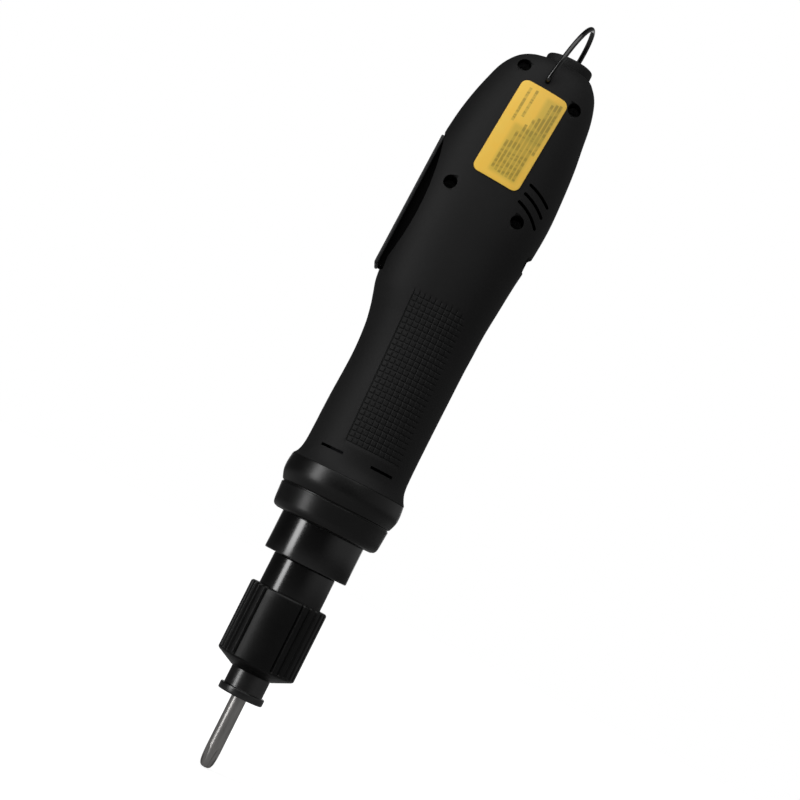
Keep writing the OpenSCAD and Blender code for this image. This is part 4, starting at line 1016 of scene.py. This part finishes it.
knurl = Recipe("Knurl", Pitch=math.radians(12), Groups=3, Grooves=6, Turn=math.radians(-5),
               Depth=0.6 * MM, Width=math.radians(2.7), Foot=knurl_foot * MM, Rise=0.4 * MM,
               Inner=12.2 * MM)
groove_pitch, grooves, foot = (knurl.size(name) for name in ("Pitch", "Grooves", "Foot"))
knurl_angle = knurl.maths("ARCTAN2", knurl.position("Y"), knurl.position("X"))
group_turn = knurl.maths("DIVIDE", 2 * math.pi, knurl.size("Groups"))
from_first = knurl_angle - knurl.size("Turn") - math.pi / 2
in_group = (from_first + group_turn / 2) % group_turn - group_turn / 2
in_groove = abs((in_group / groove_pitch + grooves / 2) % 1 - 0.5) * groove_pitch
groove_depth = knurl.maths("MAXIMUM", 1 - in_groove / knurl.size("Width"), 0)
above_foot = knurl.step(knurl.position("Z"), foot, foot + knurl.size("Rise"))
groove_here = (abs(in_group) < grooves * groove_pitch / 2) * above_foot
outwards = knurl.node("ShaderNodeVectorMath", {"operation": "MULTIPLY"}, {
    0: knurl.node("GeometryNodeInputPosition"), 1: (1, 1, 0)})
from_axis = knurl.node("ShaderNodeVectorMath", {"operation": "LENGTH"}, {0: outwards}, out="Value")
away = knurl.node("ShaderNodeVectorMath", {"operation": "NORMALIZE"}, {0: outwards})
on_rim = from_axis > knurl.size("Inner")
knurl.close(knurl.sink(away, groove_depth * groove_here * on_rim * knurl.size("Depth")), nut_finish)
knurl.apply(nut)
install(soften(nut, 28), nut_finish, "torque_nut", "black_steel", "torque_nut")


# ---- Bit sleeve ----
# A sprung collar of blackened steel. Drawn back by its flange, it lets the two
# balls out of the bit's groove.

sleeve_low, sleeve_top = (corner.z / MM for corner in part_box("bit_sleeve"))
flange_top, mouth_top = sleeve_low + 2.4, sleeve_low + 2
SLEEVE_R, FLANGE_R = 6.5, 7.5
MOUTH_R, LAND_R, SPRING_BORE_R = 5.6, 5.05, 5.9
LAND_TOP = -39.5
sleeve = lathed("Bit_Sleeve", [
    (MOUTH_R, sleeve_low, 0.15), (FLANGE_R, sleeve_low, 0.45), (FLANGE_R, flange_top, 0.4),
    (SLEEVE_R, flange_top, 0.25), (SLEEVE_R, sleeve_top, 0.4), (SPRING_BORE_R, sleeve_top, 0.1),
    (SPRING_BORE_R, LAND_TOP, 0), (LAND_R, LAND_TOP, 0.05), (LAND_R, mouth_top, 0.05),
    (MOUTH_R, mouth_top, 0)])
sleeve_finish = metal("Sleeve_Oxide", (0.065, 0.065, 0.065), 0.28, 0.5, TURNED, 0.0004)
install(soften(sleeve, 50), sleeve_finish, "bit_sleeve", "black_steel", "bit_sleeve")


# ---- Bit ----
# A cross-head bit of hardened bright steel. Its round shank ends in two flats
# at the top and four ground flutes at the tip.

bit_low, bit_top = (corner.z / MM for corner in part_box("bit"))
BIT_R = 2.5
BIT_TIP = 6
BIT_DRIVE = 5.6
BIT_FLATS = 4.0
bright_finish = metal("Bright_Steel", (0.40, 0.39, 0.38), 0.3, 0.6, (1, 1, 0.12), 0.0003)

# share of the radius, share of the tip's length, easing
BIT_OUTLINE = [(0, 0, 0), (0.4, 0, 0.2), (0.68, 0.08, 0.3), (0.86, 0.25, 0.5), (0.96, 0.55, 0.8),
               (1, 1, 1)]
bit_point = [(BIT_R * wide, bit_low + BIT_TIP * high, ease) for wide, high, ease in BIT_OUTLINE]
bit_end = [(BIT_R, bit_top - 0.3, 0), (BIT_R - 0.3, bit_top, 0), (0, bit_top, 0)]
bit = lathed("Bit", bit_point + bit_end, 0, 64, 4)
carve(bit, [block((-BIT_R - 1, near, bit_top - BIT_DRIVE), (BIT_R + 1, near + BIT_R, bit_top + 1))
            for near in (-BIT_FLATS / 2 - BIT_R, BIT_FLATS / 2)])


def flute(turn):
    """A ground flute of the tip, as a slanted cone."""
    out = Vector((math.cos(turn), math.sin(turn), 0))
    low_end = out * BIT_R * 0.5 + Vector((0, 0, bit_low - 0.6))
    high_end = out * BIT_R * 1.35 + Vector((0, 0, bit_low + BIT_TIP * 1.15))
    return rod(low_end, high_end, BIT_R * 0.34, 32, BIT_R * 0.42)


carve(bit, [flute(math.radians(45 + 90 * k)) for k in range(4)])
install(soften(bit, 30), bright_finish, "bit", "bright_steel", "bit")


# ---- Start lever ----
# A moulded lever along the tool's left edge, hung near its top on a steel pin.
# Two skirts run in the housing's slot, a pad presses the switch, and a coil
# spring on a post under the free end brings the lever back. The face is fine
# grained. The skirts, the pad and the post are rougher and far darker than the
# face, the darker colour being painted shade for the slot they sit in.

LEVER_TOP_X, LEVER_END_X = -22.0, -23.1
LEVER_T = 1.25
LEVER_HALF = 7.5
LEVER_END = LEVER_Z0 + LEVER_T / 2
SKIRT_X = -17.2
SKIRT_Y = (5.2, 6.2)
PAD_TIP = -19.9
SPRING_Z = 101
PIN_HOLE_R = 1.06
LEVER_GRAIN, LEVER_RELIEF = 0.22, 0.02
lever_finish = moulded("Lever_Plastic", (0.010, 0.010, 0.0105), 0.46, LEVER_GRAIN, LEVER_RELIEF,
                       Specular_IOR_Level=0.35)
# the flanks are a darker copy of the lever's plastic: painted shade for the slot they sit in
flank_shade_finish = moulded("Lever_Flank", (0.0008, 0.0008, 0.0008), 0.8, LEVER_GRAIN, LEVER_RELIEF,
                       Specular_IOR_Level=0.05)


def lever_x(z):
    """The lever's outer face at a height."""
    return LEVER_TOP_X + (LEVER_END_X - LEVER_TOP_X) * (LEVER_Z1 - z) / (LEVER_Z1 - LEVER_Z0)


def lever_ring(z, thickness=LEVER_T, margin=0.0):
    """The lever plate's section at a height, with round edges."""
    centre, half = lever_x(z) + LEVER_T / 2, thickness / 2
    outer, inner, wide = centre - half, centre + half, LEVER_HALF - margin
    corners = [(outer, -wide), (inner, -wide), (inner, wide), (outer, wide)]
    return [(x, y, z) for x, y in eased(corners, thickness * 0.42)]


lever_turns = [math.radians(a) for a in (84, 70, 55, 40, 25, 12)]
lever = loft("Start_Lever", [
    lever_ring(LEVER_END - LEVER_T / 2 * math.sin(a), LEVER_T * math.cos(a), 0.5 * (1 - math.cos(a)))
    for a in lever_turns] + [lever_ring(z) for z in heights((LEVER_END, LEVER_Z1 - 0.3, 4))]
    + [lever_ring(LEVER_Z1 - 0.1, LEVER_T - 0.15, 0.08), lever_ring(LEVER_Z1, LEVER_T - 0.4, 0.25)])


def in_plate(z):
    """A place inside the lever plate, where what stands on it starts."""
    return lever_x(z) + 0.5


def post(z, tip, r):
    """A round post from the lever plate inwards."""
    return rod((in_plate(z), 0, z), (tip, 0, z), r)


skirt_top, skirt_foot = LEVER_Z1 - 0.2, LEVER_Z0 + 0.3
skirt_points = [(in_plate(LEVER_Z1), skirt_top), (SKIRT_X - 0.6, skirt_top), (SKIRT_X, LEVER_Z1 - 1),
                (SKIRT_X, LEVER_Z0 + 2.6), (SKIRT_X - 1.4, skirt_foot), (in_plate(LEVER_END), skirt_foot)]
skirt_outline = eased(skirt_points, [0, 0.4, 0.4, 1.2, 1, 0])
flanks, far_skirt = (prism_y(skirt_outline, *sorted((s * SKIRT_Y[0], s * SKIRT_Y[1]))) for s in (-1, 1))
carve(flanks, [far_skirt, post(SWITCH_Z, PAD_TIP, 2.2),
               post(SPRING_Z, lever_x(SPRING_Z) + LEVER_T + 1.4, 1.4)], "UNION")
carve(flanks, [through(*PIVOT, PIN_HOLE_R, -20, 20)])
flanks.name = "Lever_Flanks"
install(soften(lever, 35), lever_finish, "start_lever", "lever_black", "start_lever")
install(soften(flanks, 35), flank_shade_finish, "start_lever", "lever_black")


def dress(finish, *nodes):
    """Gives solids that keep their own shape a finish."""
    for node in nodes:
        for held in frame["nodes"][node].material_slots:
            held.material = finish.material


dress(screw_finish, "lever_pin", "motor_plate_screws", "retaining_rings")


# ---- Switches ----
# Two bought-in switches of moulded black plastic. The start switch has a nylon
# plunger, and the direction switch a ribbed knob in the recess on the right.

black_plastic_finish = moulded("Black_Moulding", (0.012, 0.012, 0.0125), 0.42, 0.3, 0.01)
nylon_finish = moulded("Natural_Nylon", (0.62, 0.58, 0.48), 0.45, 0.4, 0.008, Subsurface_Weight=0.05)
dress(black_plastic_finish, "start_switch_body", "direction_switch_body", "direction_switch_knob",
      "connector_insulator", "brake_relay")
dress(nylon_finish, "start_switch_plunger", "motor_end_bell")


# ---- Hanging bail ----
# One length of blackened spring wire, bent to a loop. Its two ends are turned in
# and swing in holes in the housing.

BAIL_WIRE = 1.6
BAIL_STUB = 4.6
BAIL_BEND = 1.3
BAIL_LEG = 7.5
BAIL_LEAN = 9
bail_frame = Matrix.Rotation(math.atan2(-BAIL_AXIS.x, BAIL_AXIS.y), 3, "Z") @ Matrix.Rotation(
    math.radians(BAIL_LEAN), 3, "Y")


def bail_point(y, z):
    """A place on the leaning loop, in metres."""
    return (Vector(BAIL_PIVOT) + bail_frame @ Vector((0, y, z))) * MM


bail_half = BAIL_W / 2
bail_side = [(bail_half - BAIL_STUB, 0)]
bail_side += [on_arc(bail_half - BAIL_BEND, BAIL_BEND, BAIL_BEND, 15 * k - 90) for k in range(7)]
bail_side.append((bail_half, BAIL_LEG - 0.3))
bail_crown = [on_arc(0, BAIL_LEG, bail_half, 6 * k) for k in range(31)]
bail_path = bail_side + bail_crown + [(-y, z) for y, z in reversed(bail_side)]


def drawn(name, path, thickness, sides, finish):
    """A round wire along a path of points in metres."""
    mesh = bpy.data.meshes.new(name)
    mesh.from_pydata(path, [(i, i + 1) for i in range(len(path) - 1)], [])
    made = bpy.data.objects.new(name, mesh)
    scene.collection.objects.link(made)
    wire = Recipe("Wire", Radius=thickness / 2 * MM)
    wire_round = wire.node("GeometryNodeCurvePrimitiveCircle", None, {
        "Resolution": sides, "Radius": wire.size("Radius")})
    wire_path = wire.node("GeometryNodeMeshToCurve", None, {"Mesh": wire.geometry})
    wire.close(wire.node("GeometryNodeCurveToMesh", None, {
        "Curve": wire_path, "Profile Curve": wire_round, "Fill Caps": True}), finish)
    return wire.apply(made)


bail = drawn("Hanging_Bail", [bail_point(y, z) for y, z in bail_path], BAIL_WIRE, 20, black_finish)
install(soften(bail), black_finish, "bail", "black_steel", "hanging_bail")


# ---- Springs ----
# Three coil springs of steel wire with closed ends: one under the lever, one
# that loads the clutch, and one in the bit sleeve.

spring_finish = metal("Spring_Wire", (0.36, 0.36, 0.37), 0.32, 0.3)
COIL_STEPS, WIRE_SIDES = 24, 12


def coil(name, node, axis, thickness, turns):
    """A spring in a solid one's place, with closed coils at both ends."""
    low, high = (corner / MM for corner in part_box(node))
    mid = (low + high) / 2
    along = "xyz".index(axis)
    length = high[along] - low[along]
    across = (along + 1) % 3
    radius = (high[across] - low[across] - thickness) / 2
    path = []
    for i in range(turns * COIL_STEPS + 1):
        t = i / COIL_STEPS
        closed = min(t, 1) + max(t - turns + 1, 0)
        opened = min(max((t - 1) / (turns - 2), 0), 1)
        rise = thickness * (0.5 + closed) + (length - 3 * thickness) * opened
        place = mid.copy()
        place[along] = low[along] + rise
        place[across] += radius * math.cos(2 * math.pi * t)
        place[(along + 2) % 3] += radius * math.sin(2 * math.pi * t)
        path.append(place * MM)
    made = soften(drawn(name, path, thickness, WIRE_SIDES, spring_finish))
    install(made, spring_finish, "root", "spring_steel", node)
    anchor = mid.copy()
    anchor[along] = high[along]
    [float(k == along) for k in range(3)]
    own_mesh(made)


coil("Lever_Spring", "lever_spring", "x", 0.5, 6)
coil("Torque_Spring", "torque_spring", "z", 1.6, 9)
coil("Sleeve_Spring", "sleeve_spring", "z", 0.45, 4)


# ---- Connector ----
# A round plug socket in the boss at the tail: a nickel-plated shell, a black
# insulator, and five gold-plated pins pressed through it.

nickel_finish = metal("Nickel_Plate", (0.40, 0.40, 0.39), 0.26, 0.5, (1, 1, 0.2))
gold_finish = metal("Gold_Plate", (0.66, 0.45, 0.14), 0.25, 0.4)
SOCKET_R = 4.6
PIN_R = 0.5
PIN_RING = SOCKET_R * 0.56
SHELL_TOP = BOSS_TOP - 0.3
RIM_R, RIM_LOW, RIM_TOP = 4, SHELL_LOW + 6 + GAP, SHELL_LOW + 7
shell = lathed("Connector_Barrel", [
    (RIM_R, RIM_LOW, 0.1), (SHELL_R - GAP, RIM_LOW, 0.2), (SHELL_R - GAP, SHELL_TOP, 0.15),
    (SOCKET_R, SHELL_TOP, 0.15), (SOCKET_R, RIM_TOP, 0.05), (RIM_R, RIM_TOP, 0.05)], BOSS_X, 64)
install(soften(shell, 50), nickel_finish, "root", "plated_steel", "connector_shell")
PIN_LOW, PIN_TOP = SHELL_LOW + 1, BOSS_TOP - 5.2
pin = lathed("Pin", [(0, PIN_LOW, 0), (PIN_R, PIN_LOW, 0.1), (PIN_R, PIN_TOP, 0.35), (0, PIN_TOP, 0)],
             0, 20)
pin_places = [(*on_arc(BOSS_X, 0, PIN_RING, 90 + 54 * (k - 2)), 0) for k in range(5)]
pins = repeated("Connector_Pins", pin, pin_places, gold_finish)
install(soften(pins, 50), gold_finish, "root", "gold_plate", "connector_pins")


# ---- Motor ----
# A brushed direct-current motor: a drawn steel can on a pressed plate, ferrite
# magnets, a wound and laminated rotor, and a nylon end bell with carbon brushes.

# the can and its plate are near black: painted shade, so that the slits in the grip show dark
can_shade_finish = metal("Blackened_Can", (0.012, 0.012, 0.013), 0.6, 0.8, (1, 1, 0.3))
ferrite_finish = moulded("Ferrite", (0.03, 0.03, 0.033), 0.62, 0.35, 0.015)
bronze_finish = metal("Sintered_Bronze", (0.42, 0.28, 0.11), 0.46, 0.25, (1, 1, 1), 0.01)
carbon_finish = moulded("Brush_Carbon", (0.018, 0.018, 0.02), 0.55, 0.2, 0.01)
race_finish = metal("Bearing_Steel", (0.55, 0.55, 0.56), 0.2, 0.7)
copper_finish = metal("Enamelled_Copper", (0.55, 0.20, 0.07), 0.33, 0.45, (4, 4, 0.5), 0.02,
                      Coat_Weight=0.4)
LAMINATION = 0.5
core_finish = Finish("Laminated_Core", Metallic=1.0)
SHEET_STEEL, SHEET_EDGE = (0.16, 0.16, 0.17, 1), (0.05, 0.05, 0.055, 1)
core_height = core_finish.coordinate(core_finish.place(), "Z")
core_line = core_finish.step(abs(core_height / (LAMINATION * MM) % 1 - 0.5) * 2, 0.6, 0.95)
core_finish.feed("Base Color", core_finish.mix(core_line, SHEET_STEEL, SHEET_EDGE))
core_finish.feed("Roughness", core_finish.noise(1.2) * 0.2 + 0.35)
core_finish.relief(core_line, -0.03)
dress(can_shade_finish, "motor_plate", "motor_can")
dress(ferrite_finish, "motor_magnets")
dress(bronze_finish, "shaft_bushes", "thrust_ring", "sun_pinion", "second_sun")
dress(carbon_finish, "motor_brushes")
dress(race_finish, "rotor_shaft")
dress(copper_finish, "rotor_windings", "commutator")
dress(core_finish, "rotor_core")


# ---- Gear train, bearing and clutch ----
# Two planetary stages inside the gear case, the ball bearing under them, and
# the clutch whose three balls ride out of their pockets at the set torque.

gear_finish = metal("Oiled_Gear_Steel", (0.33, 0.33, 0.34), 0.3, 0.35, (1, 1, 0.3), 0.006,
                    Coat_Weight=0.2)
cage_finish = metal("Cage_Brass", (0.52, 0.36, 0.13), 0.34, 0.5)
dress(gear_finish, "ring_gear", "carrier_1", "carrier_2", "clutch_plate",
      *[f"planet_{stage}{planet}" for stage in (1, 2) for planet in "abc"])
dress(race_finish, "bearing_outer_race", "bearing_inner_race", "bearing_balls", "clutch_balls",
      "bit_balls", "thrust_washer")
dress(cage_finish, "bearing_cage")
dress(bright_finish, "spindle")


# ---- Circuit board and leads ----
# A glass-fibre board with a brake relay, a capacitor and a resistor. Insulated
# leads join it to the connector, the switches and the motor.

board_finish = Finish("Solder_Resist", Coat_Weight=0.3, Coat_Roughness=0.2)
RESIST, RESIST_OVER_TRACK = (0.008, 0.075, 0.022, 1), (0.014, 0.13, 0.04, 1)
board_track = board_finish.step(board_finish.noise(2.2, 0, (1, 1, 0.15)), 0.52, 0.56)
board_finish.feed("Base Color", board_finish.mix(board_track, RESIST, RESIST_OVER_TRACK))
board_finish.feed("Roughness", board_finish.noise(0.5) * 0.15 + 0.32)
board_finish.relief(board_track, 0.03)
shrink_finish = moulded("Shrink_Sleeve", (0.012, 0.022, 0.07), 0.28, 0.6, 0.008)
resistor_finish = moulded("Ceramic_Coat", (0.42, 0.28, 0.15), 0.5, 0.3, 0.02)
lead_finish = moulded("Lead_Insulation", (0.26, 0.014, 0.01), 0.4, 0.6, 0.006)
dress(board_finish, "circuit_board")
dress(shrink_finish, "smoothing_capacitor")
dress(resistor_finish, "brake_resistor")
dress(lead_finish, "internal_leads")
